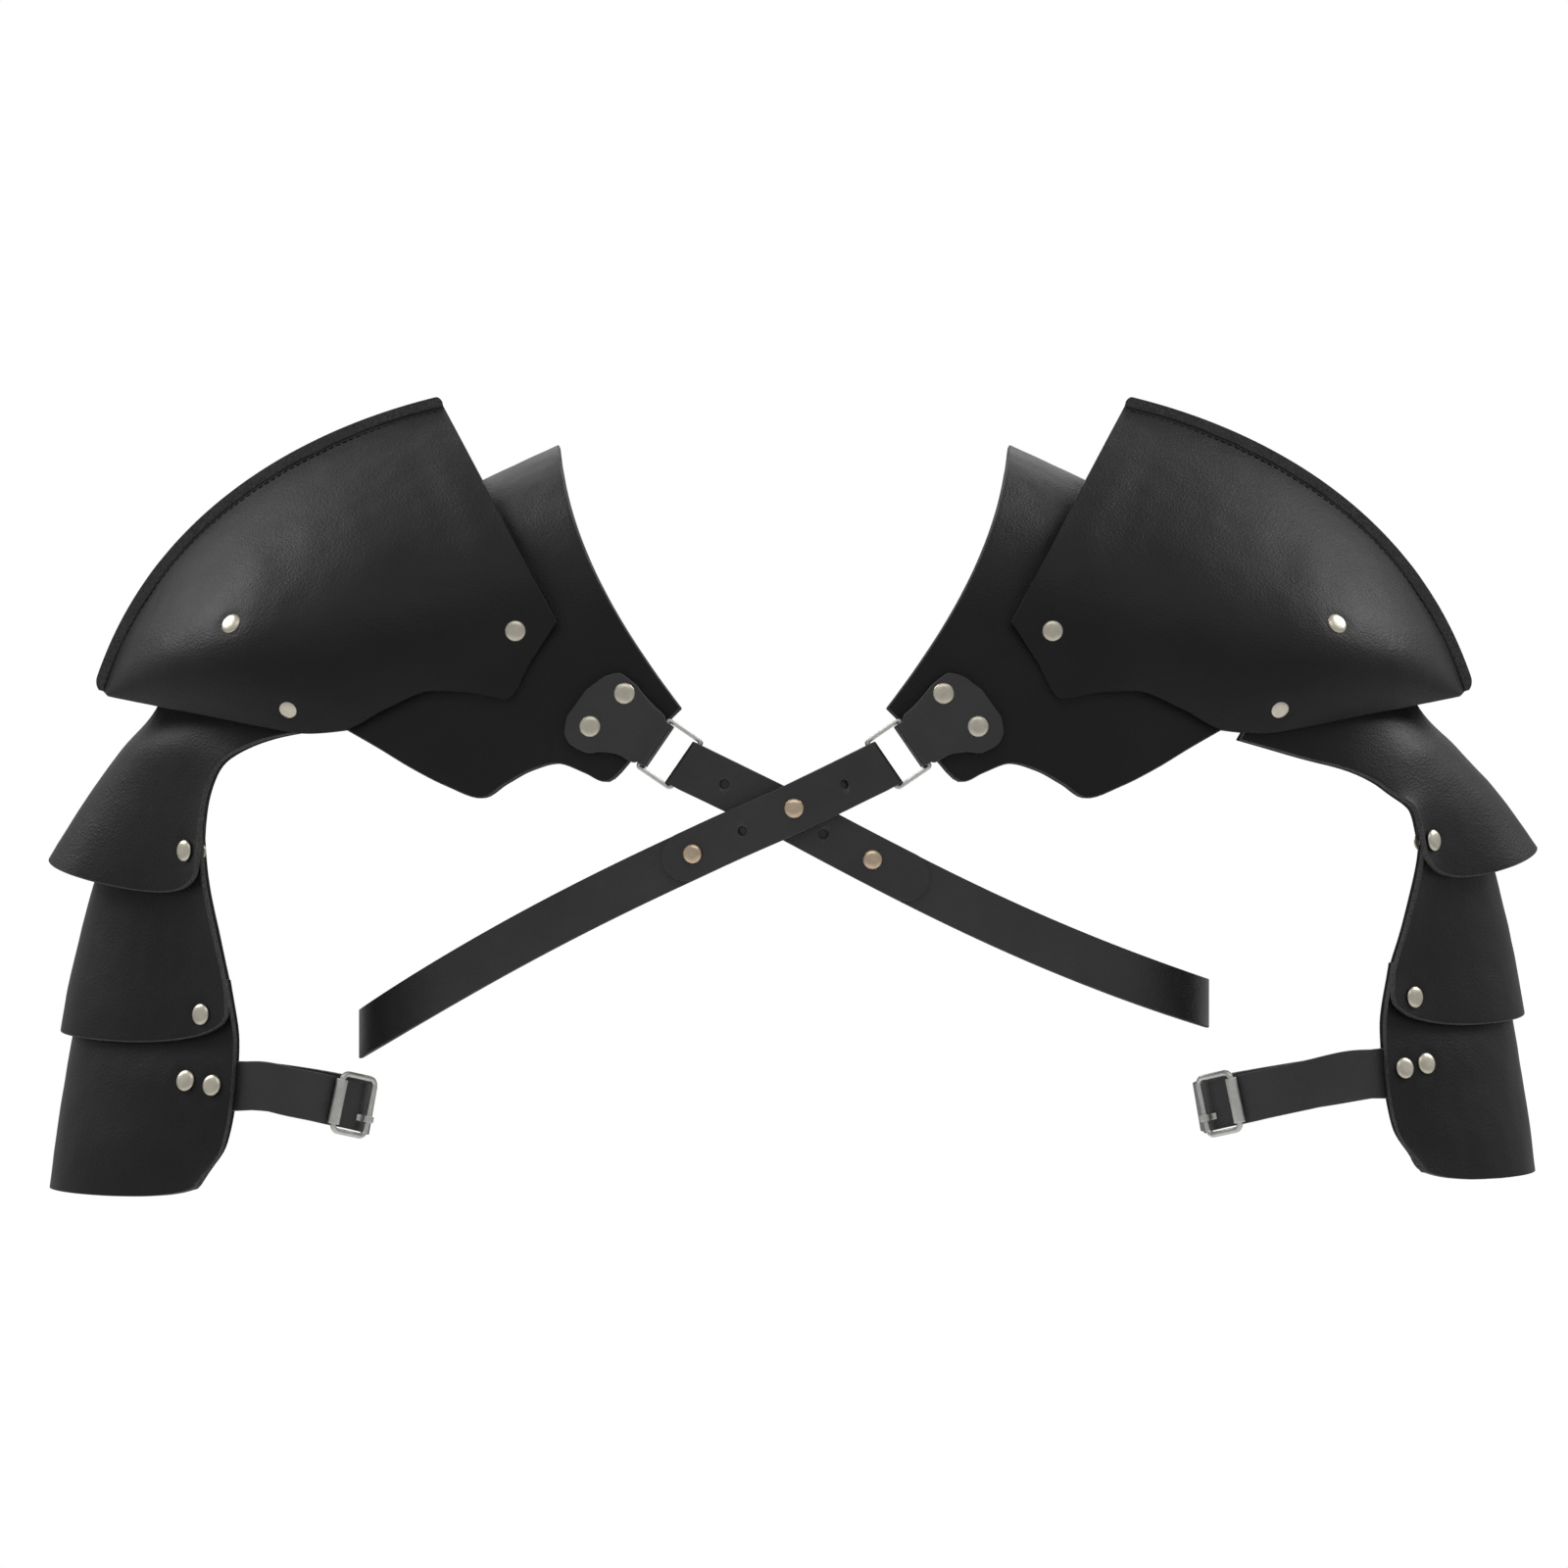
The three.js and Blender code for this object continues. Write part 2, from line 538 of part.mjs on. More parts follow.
// u runs from the neck edge to the outer tip, t from the stitches down to the lower edge.
// A t of -1 is the top of the turned-up seam. facing is -1 in front and 1 behind.
function capPoint(u, t, facing) {
  const share = column(CAP_SECTIONS, 'ridge', u);
  const outward = capRidgeOut(share);
  const top = capRidge(share);
  const seamDepth = SEAM_GAP / 2 + PLATE;
  const base = vec(top.x, 0, top.z).addScaledVector(outward, -SEAM_HEIGHT);
  if (t < 0) return vec(top.x, facing * seamDepth, top.z);
  const hemX = CAP_HEM_X + column(CAP_SECTIONS, 'out', u) * CAP_HEM_REACH;
  const hemZ = CAP_NECK_Z - column(CAP_SECTIONS, 'down', u) * CAP_HEM_DROP;
  const belly = column(CAP_SECTIONS, 'belly', u);
  const tuck = column(CAP_SECTIONS, 'tuck', u);
  const deep = (capHemDepth(hemX) - seamDepth) * bellied(t, belly, tuck) / (1 - tuck);
  return vec(mix(base.x, hemX, t), facing * (seamDepth + deep), mix(base.z, hemZ, t));
}

function capGrid(facing) {
  const last = CAP_SECTIONS.length - 1;
  return [-1, ...CAP_ROWS].map((t) => CAP_SECTIONS.map((s, i) => capPoint(i / last, t, facing)));
}

// Lames

// u runs round the arm, 0 at the front edge, 1 at the widest point and 2 at the rear edge.
// v runs down from the upper edge.
function lamePoint(lame, side, u, v) {
  const take = (name) => column(lame.rows, name, v);
  const front = take('front') * ARM_REACH + take('shift') * side.frontShift;
  const frontY = -take('frontDepth') * GIRTH_DEPTH + take('shift') * side.frontShift * 0.3;
  const edge = take('side') * ARM_REACH + take('shift') * side.sideShift;
  const edgeY = take('sideDepth') * GIRTH_DEPTH;
  const turn = rad(take('turn'));
  const t = u <= 1 ? u : 2 - u;
  const chord = Math.hypot(edge - front, edgeY - frontY);
  const pull = LAME_FRONT_PULL * chord;
  const x = cubic(front, front + pull * Math.cos(turn), edge, edge, t);
  const y = cubic(frontY, frontY + pull * Math.sin(turn), edgeY - LAME_SIDE_PULL * chord, edgeY, t);
  const sag = take('dip') * Math.sin(Math.PI * Math.sqrt(t));
  const down = mix(take('sideDown'), take('frontDown'), (1 - t) ** 3) + sag;
  const lift = side.lift * mix(take('sideLift'), take('frontLift'), (1 - t) ** 3);
  const depth = u <= 1 ? y : edgeY + take('rear') * (edgeY - y);
  return vec(x, depth, lift - down * LAME_DROP);
}

function lameGrid(lame, side) {
  const around = [...LAME_COLUMNS, ...LAME_COLUMNS.slice(0, -1).reverse().map((u) => 2 - u)];
  const last = lame.rows.length - 1;
  return lame.rows.map((row, j) => around.map((u) => lamePoint(lame, side, u, j / last)));
}

// Places on a surface

// The surface parameters whose point lies nearest to a place seen from the front.
function locate(surface, x, z, range) {
  let best = { u: 0, v: 0, miss: Infinity };
  let { u0, u1, v0, v1 } = range;
  for (let pass = 0; pass < 4; pass += 1) {
    for (let a = 0; a <= 12; a += 1) {
      for (let b = 0; b <= 12; b += 1) {
        const u = mix(u0, u1, a / 12);
        const v = mix(v0, v1, b / 12);
        const p = surface(u, v);
        const miss = Math.hypot(p.x - x, p.z - z);
        if (miss < best.miss) best = { u, v, miss };
      }
    }
    const reachU = (u1 - u0) / 6;
    const reachV = (v1 - v0) / 6;
    u0 = Math.max(range.u0, best.u - reachU);
    u1 = Math.min(range.u1, best.u + reachU);
    v0 = Math.max(range.v0, best.v - reachV);
    v1 = Math.min(range.v1, best.v + reachV);
  }
  return best;
}

// Point and outward direction of a surface. away is a point that lies inside the body.
function seat(surface, u, v, inside) {
  const step = 0.02;
  const place = surface(u, v);
  const du = surface(u + step, v).sub(surface(u - step, v));
  const dv = surface(u, v + step).sub(surface(u, v - step));
  const direction = du.cross(dv).normalize();
  if (direction.dot(place.clone().sub(inside)) < 0) direction.negate();
  return { place, direction };
}

// Heights above a seat at which a stack of solids starts and ends, along its direction,
// found under the rims of a rivet's head and tail.
function stackEnds({ place, direction }, geometries, head) {
  const material = new THREE.MeshBasicMaterial({ side: THREE.DoubleSide });
  const meshes = geometries.map((g) => new THREE.Mesh(g, material));
  const side = vec(0, 0, 1).cross(direction).normalize();
  const other = direction.clone().cross(side);
  const heightsAt = (radius) => spaced(0, 345, 23).flatMap((angle) => {
    const start = place.clone().addScaledVector(direction, 4)
      .addScaledVector(side, radius * Math.cos(rad(angle)))
      .addScaledVector(other, radius * Math.sin(rad(angle)));
    const ray = new THREE.Raycaster(start, direction.clone().negate(), 0, 34);
    return meshes.flatMap((mesh) => ray.intersectObject(mesh)).map((hit) => 4 - hit.distance);
  });
  return {
    top: Math.max(...heightsAt(head / 2), ...heightsAt(head / 4)),
    foot: Math.min(...heightsAt(RIVET_TAIL / 2 + 0.4), ...heightsAt(RIVET_TAIL / 4)),
  };
}

// A tubular rivet: domed head outside, shank through the leather, flat tail behind.
function rivet({ place, direction }, { top, foot }, head) {
  const seatGap = 0.3;
  const profile = [
    [0, foot - seatGap - RIVET_TAIL_HEIGHT],
    [RIVET_TAIL / 2, foot - seatGap],
    [RIVET_SHANK / 2, foot - seatGap],
    [RIVET_SHANK / 2, top + seatGap],
    [head / 2, top + seatGap],
    [head / 2, top + seatGap + RIVET_HEAD_HEIGHT * 0.5],
    [0, top + seatGap + RIVET_HEAD_HEIGHT],
  ].map(([r, y]) => new THREE.Vector2(r, y));
  return alongDirection(new THREE.LatheGeometry(profile, 7), direction, place);
}

// Chest strap

// Centre of the strap's inner face at an angle round the torso: 0 at the middle of the
// chest, 90 degrees under the other arm and 180 at the middle of the back.
function chestPoint(side, angle) {
  const x = -TORSO_HALF * Math.sin(angle);
  const depth = x > 0 ? Math.max(torsoDepth(x), girthDepth(x) + GAP) : torsoDepth(x);
  const past = Math.max(0, -x / TORSO_HALF);
  const stray = side.sway * (CHEST_SWAY_BACK * Math.sin(Math.PI * past) - past ** 3);
  const z = CHEST_CROSS_Z + CHEST_SLOPE * x + stray;
  return vec(x, -Math.sign(Math.cos(angle)) * depth, z);
}

function chestRoute(side) {
  const first = -Math.asin(CHEST_FOLD_X / TORSO_HALF);
  const end = Math.PI - first;
  const steps = 720;
  const samples = [];
  let length = 0;
  for (let k = 0; k <= steps; k += 1) {
    const angle = mix(first, end, k / steps);
    const place = chestPoint(side, angle);
    if (k > 0) length += place.distanceTo(samples[k - 1].place);
    samples.push({ s: length, angle, place });
  }
  const angleAt = (s) => {
    const k = samples.findIndex((sample) => sample.s >= s);
    if (k < 0) return end;
    if (k === 0) return first;
    const [a, b] = [samples[k - 1], samples[k]];
    return mix(a.angle, b.angle, (s - a.s) / (b.s - a.s));
  };
  const frame = (s) => {
    const step = 0.01;
    const angle = angleAt(s);
    const place = chestPoint(side, angle);
    const along = chestPoint(side, angle + step).sub(chestPoint(side, angle - step)).normalize();
    const up = vec(along.y, -along.x, 0).normalize();
    if (up.dot(vec(place.x, place.y, 0)) < 0) up.negate();
    const across = along.clone().cross(up).normalize();
    return { place, along, up, across };
  };
  const nearest = (angle) => samples.find((sample) => sample.angle >= angle).s;
  return { length, frame, crossFront: nearest(0), crossRear: nearest(Math.PI) };
}

for (const side of SIDES) side.route = chestRoute(side);

function chestLift(side, s) {
  if (!side.over) return 0;
  const hump = (at, height) => {
    const away = Math.max(0, Math.abs(s - at) - CROSS_FLAT);
    return height * ease(1 - away / CROSS_RUN);
  };
  return hump(side.route.crossFront, CROSS_LIFT) + hump(side.route.crossRear, CROSS_LIFT_REAR);
}

// Distance between the two layers of a strap or tab folded round a bar.
const foldGap = (s) => mix(FOLD_CLEAR, STRAP_LAYER_GAP, ease((s - 5) / 12));
const foldRadius = (STRAP + FOLD_CLEAR) / 2;

// A folded strip runs from its free end along the upper layer, round the fold and back
// along the lower one. Each step is a distance from the fold and a height.
function foldedSteps(upper, lower) {
  const steps = upper.map((s) => [s, STRAP * 1.5 + foldGap(s)]);
  for (let k = 0; k <= 4; k += 1) {
    const angle = rad(90 + 45 * k);
    const middle = STRAP / 2 + foldRadius;
    steps.push([foldRadius * (1 + Math.cos(angle)), middle + foldRadius * Math.sin(angle)]);
  }
  return [...steps, ...lower.map((s) => [s, STRAP / 2])];
}

// Turns steps of distance and height into stations of a strip.
function stationsAlong(steps, place, halfAt) {
  return steps.map(([s, h], k) => {
    const [s0, h0] = steps[Math.max(0, k - 1)];
    const [s1, h1] = steps[Math.min(steps.length - 1, k + 1)];
    const run = Math.hypot(s1 - s0, h1 - h0);
    const frame = place(s, h);
    const up = frame.up.clone().multiplyScalar((s1 - s0) / run)
      .addScaledVector(frame.along, -(h1 - h0) / run);
    return { ...frame, up, half: halfAt(s, k) };
  });
}

const roundEnd = (left, half) => (left >= half ? half
  : Math.sqrt(Math.max(0.04, 1 - (1 - left / half) ** 2)) * half);

// The strap lies in one fold at each end, round the front ring and round the rear ring.
function chestStrap(side) {
  const { route } = side;
  const half = STRAP_WIDTH / 2;
  const tipSteps = [0, 0.12, 0.4, 1].map((share) => side.tip - share * half);
  const upper = [...tipSteps, ...spaced(side.tip - half - 7, 8, 8), 2.6];
  const lower = [8, ...spaced(16, route.length - 12, 28)];
  const rear = foldedSteps([], [8, 16, CHEST_REAR_RETURN])
    .map(([s, h]) => [route.length - s, STRAP * 2 + FOLD_CLEAR - h]);
  const frontBar = ringBars().long;
  const rearBar = frontBar.clone().multiply(vec(1, -1, 1));
  const place = (s, h) => {
    const { place: foot, along, up, across } = route.frame(s);
    const centre = foot.clone().addScaledVector(up, h + chestLift(side, s));
    const fromEnd = Math.min(s, route.length - s);
    const bar = s < route.length / 2 ? frontBar : rearBar;
    const skewed = bar.clone().divideScalar(bar.dot(across)).sub(across);
    across.addScaledVector(skewed, 1 - ease((fromEnd - 4) / 14));
    return { centre, along, up, across };
  };
  const halfAt = (s, k) => (k < tipSteps.length ? roundEnd(side.tip - s, half) : half);
  const steps = [...foldedSteps(upper, lower), ...rear];
  return strip(stationsAlong(steps, place, halfAt), STRAP);
}

const chestHole = (k) => CHEST_FIRST_HOLE + k * CHEST_HOLE_PITCH;

function chestSeat(side, s) {
  const { place, up, along } = side.route.frame(s);
  const height = chestLift(side, s) + 2 * STRAP + foldGap(s);
  const climb = (chestLift(side, s + 1) - chestLift(side, s - 1)) / 2;
  const direction = up.clone().addScaledVector(along, -climb).normalize();
  return { place: place.clone().addScaledVector(up, height), direction };
}

// Ring and tab

// The ring's two long bars lie in the folds of the strap and of the tab. Both sides are
// alike there.
function ringBars() {
  const height = STRAP + FOLD_CLEAR / 2;
  const { place, up: strapUp } = SIDES[0].route.frame(foldRadius);
  const strapBar = place.clone().addScaledVector(strapUp, height);
  const apart = RING_SHORT - RING_WIRE;
  const x = strapBar.x + apart * Math.cos(rad(RING_ANGLE));
  const z = strapBar.z + apart * Math.sin(rad(RING_ANGLE));
  const tabBar = vec(x, -(girthDepth(x) + GAP + height), z);
  const slope = (girthDepth(x + 9) - girthDepth(x + 11)) / 2;
  const tabUp = vec(slope, -1, 0).normalize();
  const short = tabBar.clone().sub(strapBar).normalize();
  const long = short.clone().cross(tabUp.clone().add(strapUp)).normalize();
  return { strapBar, tabBar, height, tabUp, short, long };
}

function ringGeometry() {
  const { strapBar, tabBar, short, long } = ringBars();
  const normal = long.clone().cross(short).normalize();
  const centre = tabBar.clone().add(strapBar).multiplyScalar(0.5);
  const corner = RING_CORNER - RING_WIRE / 2;
  const loop = roundedLoop(centre, long, short, RING_LONG - RING_WIRE,
    RING_SHORT - RING_WIRE, corner, 2);
  return wireLoop(loop, normal, RING_WIRE / 2, 5);
}

function tabFrame() {
  const { tabBar, height, tabUp: up, long } = ringBars();
  const level = vec(-up.y, up.x, 0);
  const along = level.multiplyScalar(Math.cos(rad(TAB_ANGLE)))
    .add(vec(0, 0, Math.sin(rad(TAB_ANGLE))));
  const across = along.clone().cross(up).normalize();
  const skewed = long.clone().divideScalar(long.dot(across)).sub(across);
  const fold = tabBar.clone().addScaledVector(up, -height)
    .addScaledVector(along, -foldRadius);
  const at = (s, h, w) => fold.clone().addScaledVector(along, s).addScaledVector(up, h)
    .addScaledVector(across, w);
  return { along, up, across, skewed, at };
}

// sink lowers the layer on the yoke, away from the fold.
function tabGeometry(outline, sink) {
  const { along, up, across, skewed, at } = tabFrame();
  const stops = outline.slice(1).map((row) => row.along * TAB_LENGTH);
  const edge = (s, name) => {
    const share = clamp01(s / TAB_LENGTH);
    const k = Math.max(1, outline.findIndex((row) => row.along >= share));
    const [a, b] = [outline[k - 1], outline[k]];
    return TAB_WIDTH * mix(a[name], b[name], (share - a.along) / (b.along - a.along));
  };
  const place = (s, h) => {
    const turned = across.clone().addScaledVector(skewed, 1 - ease((s - 3) / 14));
    const centre = at(s, h, 0).addScaledVector(turned, (edge(s, 'low') + edge(s, 'high')) / 2);
    return { centre, along, up, across: turned };
  };
  const lower = foldedSteps([], stops).map(([s, h]) => [s, h - sink * ease((s - 6) / 6)]);
  const steps = [...foldedSteps([...stops].reverse(), []).slice(0, stops.length), ...lower];
  return strip(stationsAlong(steps, place, (s) => (edge(s, 'high') - edge(s, 'low')) / 2), STRAP);
}

function tabSeats() {
  const { up, at } = tabFrame();
  return TAB_RIVETS.map(({ along, across }) => {
    const s = along * TAB_LENGTH;
    const place = at(s, 2 * STRAP + foldGap(s), across * TAB_WIDTH);
    return { place, direction: up };
  });
}

// Arm strap and buckle

function armStrapPath(side) {
  const lame = LAMES[2];
  const level = ARM_STRAP_ROUTE[0].down * LAME_DROP - ARM_STRAP_LIFT * side.lift;
  const inside = vec(ARM_REACH * 0.77, 0, -level);
  const under = (u) => {
    const v = locate((a, b) => lamePoint(lame, side, u, b), lamePoint(lame, side, u, 0.5).x,
      -level, { u0: 0, u1: 1, v0: 0, v1: 1 }).v;
    const { place, direction } = seat((a, b) => lamePoint(lame, side, a, b), u, v, inside);
    return { place: place.addScaledVector(direction, -(PLATE + (u < 1 ? 1.2 : 2.4) + STRAP / 2)), direction };
  };
  const free = ARM_STRAP_ROUTE.map((row) => {
    const place = vec(
      row.out * ARM_REACH + row.shift * side.frontShift,
      row.back * GIRTH_DEPTH + row.shift * side.frontShift * 0.3,
      row.shift * ARM_STRAP_LIFT * side.lift - row.down * LAME_DROP,
    );
    const out = place.x - inside.x;
    return { place, direction: vec(out, place.y, ARM_STRAP_TILT * out).normalize() };
  });
  const front = ARM_STRAP_UNDER_FRONT.map(under);
  const stops = [...front, ...free, ...ARM_STRAP_UNDER_REAR.map(under)];
  const curve = new THREE.CatmullRomCurve3(stops.map((stop) => stop.place), false, 'centripetal');
  return { curve, stops, buckleAt: front.length + BUCKLE_ROW };
}

function armStrapFrame(path, t) {
  const centre = path.curve.getPoint(t);
  const along = path.curve.getTangent(t);
  const at = t * (path.stops.length - 1);
  const k = Math.min(path.stops.length - 2, Math.floor(at));
  const lean = path.stops[k].direction.z * (1 - at + k) + path.stops[k + 1].direction.z * (at - k);
  const flat = vec(along.y, -along.x, 0).normalize();
  const toward = path.stops[Math.round(at)].direction;
  if (flat.dot(toward) < 0) flat.negate();
  const up = flat.add(vec(0, 0, lean));
  up.addScaledVector(along, -up.dot(along)).normalize();
  const across = along.clone().cross(up).normalize();
  if (across.z < 0) across.negate();
  return { centre, along, across, up };
}

function armStrap(side, path) {
  const stations = spaced(0, 1, 27).map((t) => (
    { ...armStrapFrame(path, t), half: STRAP_WIDTH / 2 }));
  return strip(stations, STRAP);
}

function buckle(path) {
  const frame = armStrapFrame(path, path.buckleAt / (path.stops.length - 1));
  const height = STRAP / 2 + GAP + ROLLER_DIAMETER / 2;
  const centre = frame.centre.clone().addScaledVector(frame.up, height);
  const corner = BUCKLE_CORNER - BUCKLE_WIRE / 2;
  const loop = roundedLoop(centre, frame.across, frame.along, BUCKLE_HEIGHT - BUCKLE_WIRE,
    BUCKLE_LENGTH - BUCKLE_WIRE, corner, 2);
  const frameGeometry = wireLoop(loop, frame.up, BUCKLE_WIRE / 2, 6);
  const barOffset = (BUCKLE_LENGTH - BUCKLE_WIRE) / 2;

  const rollerProfile = [
    [ROLLER_BORE / 2, -ROLLER_LENGTH / 2], [ROLLER_DIAMETER / 2, -ROLLER_LENGTH / 2],
    [ROLLER_DIAMETER / 2, ROLLER_LENGTH / 2], [ROLLER_BORE / 2, ROLLER_LENGTH / 2],
    [ROLLER_BORE / 2, -ROLLER_LENGTH / 2],
  ].map(([r, y]) => new THREE.Vector2(r, y));
  const rollerGeometry = alongDirection(new THREE.LatheGeometry(rollerProfile, 10),
    frame.across, centre.clone().addScaledVector(frame.along, -barOffset));

  // The prong is curled round the far bar and goes down through the strap behind it.
  const bar = centre.clone().addScaledVector(frame.along, barOffset)
    .addScaledVector(frame.across, PRONG_OFFSET);
  const curl = BUCKLE_WIRE / 2 + 0.35 + PRONG_THICKNESS / 2;
  const steps = [];
  for (let k = 0; k <= 7; k += 1) {
    const angle = rad(210 - 45 * k);
    steps.push([curl * Math.cos(angle), curl * Math.sin(angle)]);
  }
  const below = -(height + STRAP / 2 + GAP + PRONG_THICKNESS / 2);
  steps.push([-curl - 0.9, -curl - 0.6], [-curl - 1.7, below + 1.2], [-curl - 3.4, below],
    [-curl - PRONG_REACH, below]);
  const place = (s, h) => ({
    ...frame,
    centre: bar.clone().addScaledVector(frame.along, s).addScaledVector(frame.up, h),
  });
  const prongGeometry = strip(stationsAlong(steps, place, () => PRONG_WIDTH / 2),
    PRONG_THICKNESS);
  const slot = {
    place: bar.clone().addScaledVector(frame.along, -curl - 1.4),
    direction: frame.up,
    diameter: PRONG_WIDTH + 3.4,
    sides: 5,
    out: 0,
    deep: height + STRAP + 2,
  };
  return { frameGeometry, rollerGeometry, prongGeometry, slot };
}

// Assembly

const pauldrons = new THREE.Group();

function addPiece(side, name, geometry, material) {
  const shape = geometry.clone();
  shape.deleteAttribute('normal');
  shape.deleteAttribute('uv');
  const merged = mergeVertices(shape, 1e-4);
  if (side.sign < 0) merged.scale(-1, 1, 1);
  facingOut(merged);
  merged.computeVertexNormals();
  const mesh = new THREE.Mesh(merged, new THREE.MeshStandardMaterial(material));
  mesh.name = `${side.name}_${name}`;
  pauldrons.add(mesh);
}

function buildSide(side) {
  const sheets = {
    yoke: joined(sheet(yokeGrid(), PLATE, 1), behind(tabGeometry(REAR_TAB_OUTLINE, 0.9))),
    cap_front: sheet(capGrid(-1), PLATE, -1),
    cap_rear: sheet(capGrid(1), PLATE, 1),
  };
  for (const lame of LAMES) sheets[lame.name] = sheet(lameGrid(lame, side), PLATE, -1);
  const path = armStrapPath(side);
  const straps = {
    arm_strap: armStrap(side, path),
    ring_tab: tabGeometry(TAB_OUTLINE, 0),
    chest_strap: chestStrap(side),
  };
  const all = { ...sheets, ...straps };

  // Rivets: a seat on the outermost piece, and the pieces that each one holds.
  const shoulder = vec(CAP_NECK_X + 20, 0, -60);
  const arm = vec(ARM_REACH * 0.8, 0, -200);
  const capAt = (u, v, facing) => seat((a, b) => capPoint(a, b, facing), u, v, shoulder);
  const lameAt = (k, u, v) => (
    seat((a, b) => lamePoint(LAMES[k], side, a, b), u, v, arm));
  const rivets = [
    { name: 'rivet_cap_yoke_front', at: capAt(0.097, 0.873, -1), holds: ['cap_front', 'yoke'] },
    { name: 'rivet_cap_yoke_rear', at: capAt(0.097, 0.873, 1), holds: ['cap_rear', 'yoke'] },
    { name: 'rivet_cap_middle', at: capAt(0.691, 0.453, -1), holds: ['cap_front', 'lame_1'] },
    { name: 'rivet_cap_low_front', at: capAt(0.651, 0.898, -1), holds: ['cap_front', 'lame_1'] },
    { name: 'rivet_cap_low_rear', at: capAt(0.651, 0.898, 1), holds: ['cap_rear', 'lame_1'] },
    { name: 'rivet_lame_1_front', at: lameAt(0, 0.1, 0.88), holds: ['lame_1', 'lame_2'] },
    { name: 'rivet_lame_1_rear', at: lameAt(0, 1.78, 0.86), holds: ['lame_1', 'lame_2'] },
    { name: 'rivet_lame_2_front', at: lameAt(1, 0.13, 0.87), holds: ['lame_2', 'lame_3'] },
    { name: 'rivet_lame_2_rear', at: lameAt(1, 1.8, 0.87), holds: ['lame_2', 'lame_3'] },
    { name: 'rivet_lame_3_inner', at: lameAt(2, 0.09, 0.475), holds: ['lame_3', 'arm_strap'] },
    { name: 'rivet_lame_3_outer', at: lameAt(2, 0.21, 0.455), holds: ['lame_3', 'arm_strap'] },
    { name: 'rivet_lame_3_rear', at: lameAt(2, 1.86, 0.475), holds: ['lame_3', 'arm_strap'] },
  ];
  tabSeats().forEach((at, k) => {
    rivets.push({ name: `rivet_tab_${k + 1}`, at, holds: ['ring_tab', 'yoke'] });
  });
  [1, 3].forEach((hole, k) => {
    const at = chestSeat(side, chestHole(hole));
    rivets.push({ name: `stud_${k + 1}`, at, holds: ['chest_strap'], stud: true });
  });

  const holes = Object.fromEntries(Object.keys(all).map((name) => [name, []]));
  for (const item of rivets) {
    const layers = item.holds.map((name) => all[name]);
    item.ends = stackEnds(item.at, layers, item.stud ? STUD_HEAD : RIVET_HEAD);
    const { top, foot } = item.ends;
    for (const name of item.holds) {
      const reach = { out: top + 1, deep: 1 - foot };
      holes[name].push({ ...item.at, ...reach, diameter: RIVET_HOLE, sides: 4 });
    }
  }
  for (const hole of [0, 2]) {
    const at = chestSeat(side, chestHole(hole));
    const deep = STRAP + STRAP_LAYER_GAP * 0.5;
    holes.chest_strap.push({ ...at, diameter: CHEST_HOLE, sides: 6, out: 2, deep });
  }
  const { frameGeometry, rollerGeometry, prongGeometry, slot } = buckle(path);
  holes.arm_strap.push(slot);

  for (const [name, geometry] of Object.entries(all)) {
    const leather = name in sheets ? armourLeather : strapLeather;
    addPiece(side, name, drilled(geometry, holes[name]), leather);
  }
  addPiece(side, 'buckle_frame', frameGeometry, chrome);
  addPiece(side, 'buckle_roller', rollerGeometry, chrome);
  addPiece(side, 'buckle_prong', prongGeometry, chrome);
  addPiece(side, 'ring', ringGeometry(), chrome);
  addPiece(side, 'rear_ring', behind(ringGeometry()), chrome);
  for (const { name, at, ends, stud } of rivets) {
    addPiece(side, name, rivet(at, ends, stud ? STUD_HEAD : RIVET_HEAD), stud ? brass : nickel);
  }
}

for (const side of SIDES) buildSide(side);

export default pauldrons;
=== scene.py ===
"""Pair of leather pauldrons on a crossed chest harness, dressed for rendering.

Shapes are worked out in millimetres for the left shoulder, where +X points outward, and are
mirrored for the right one. Right and left are the wearer's.
"""
import math

import bmesh
import bpy
import numpy as np
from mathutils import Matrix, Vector, noise


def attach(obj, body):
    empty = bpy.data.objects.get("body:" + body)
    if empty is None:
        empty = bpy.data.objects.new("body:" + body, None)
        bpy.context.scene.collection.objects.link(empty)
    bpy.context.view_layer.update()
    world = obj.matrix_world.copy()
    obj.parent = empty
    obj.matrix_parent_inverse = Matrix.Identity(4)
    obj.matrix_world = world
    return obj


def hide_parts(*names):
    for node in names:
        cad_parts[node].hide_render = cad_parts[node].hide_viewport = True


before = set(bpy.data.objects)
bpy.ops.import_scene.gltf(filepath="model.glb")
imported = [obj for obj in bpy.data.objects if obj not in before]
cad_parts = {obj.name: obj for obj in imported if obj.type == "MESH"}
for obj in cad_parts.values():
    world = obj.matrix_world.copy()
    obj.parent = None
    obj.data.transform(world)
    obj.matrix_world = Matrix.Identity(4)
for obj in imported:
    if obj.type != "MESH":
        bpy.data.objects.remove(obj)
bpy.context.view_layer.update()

# Driving dimensions, as in the solids

PLATE = 2.2
STRAP = 1.7
GAP = 0.4
STRAP_WIDTH = 20
STRAP_LAYER_GAP = 0.35
GIRTH_HALF = 290
GIRTH_DEPTH = 98
TORSO_HALF = 172
TORSO_DEPTH = 100
ARM_REACH = 301
YOKE_NECK_X = 92
YOKE_NECK_Z = 18.6
YOKE_CREST_REACH = 107
YOKE_CREST_FALL = 48
YOKE_CREST_BOW = 3
YOKE_ROUND = 90
YOKE_HEM_X = 41.8
YOKE_HEM_REACH = 138.2
YOKE_HEM_DROP = 144.5
CAP_NECK_X = 140.2
CAP_NECK_Z = 38.6
CAP_LENGTH = 142
CAP_FALL = 119.5
CAP_HEM_X = 92.6
CAP_HEM_REACH = 183.6
CAP_HEM_DROP = 138
CAP_TAPER_START = 200
CAP_TAPER_END = 279
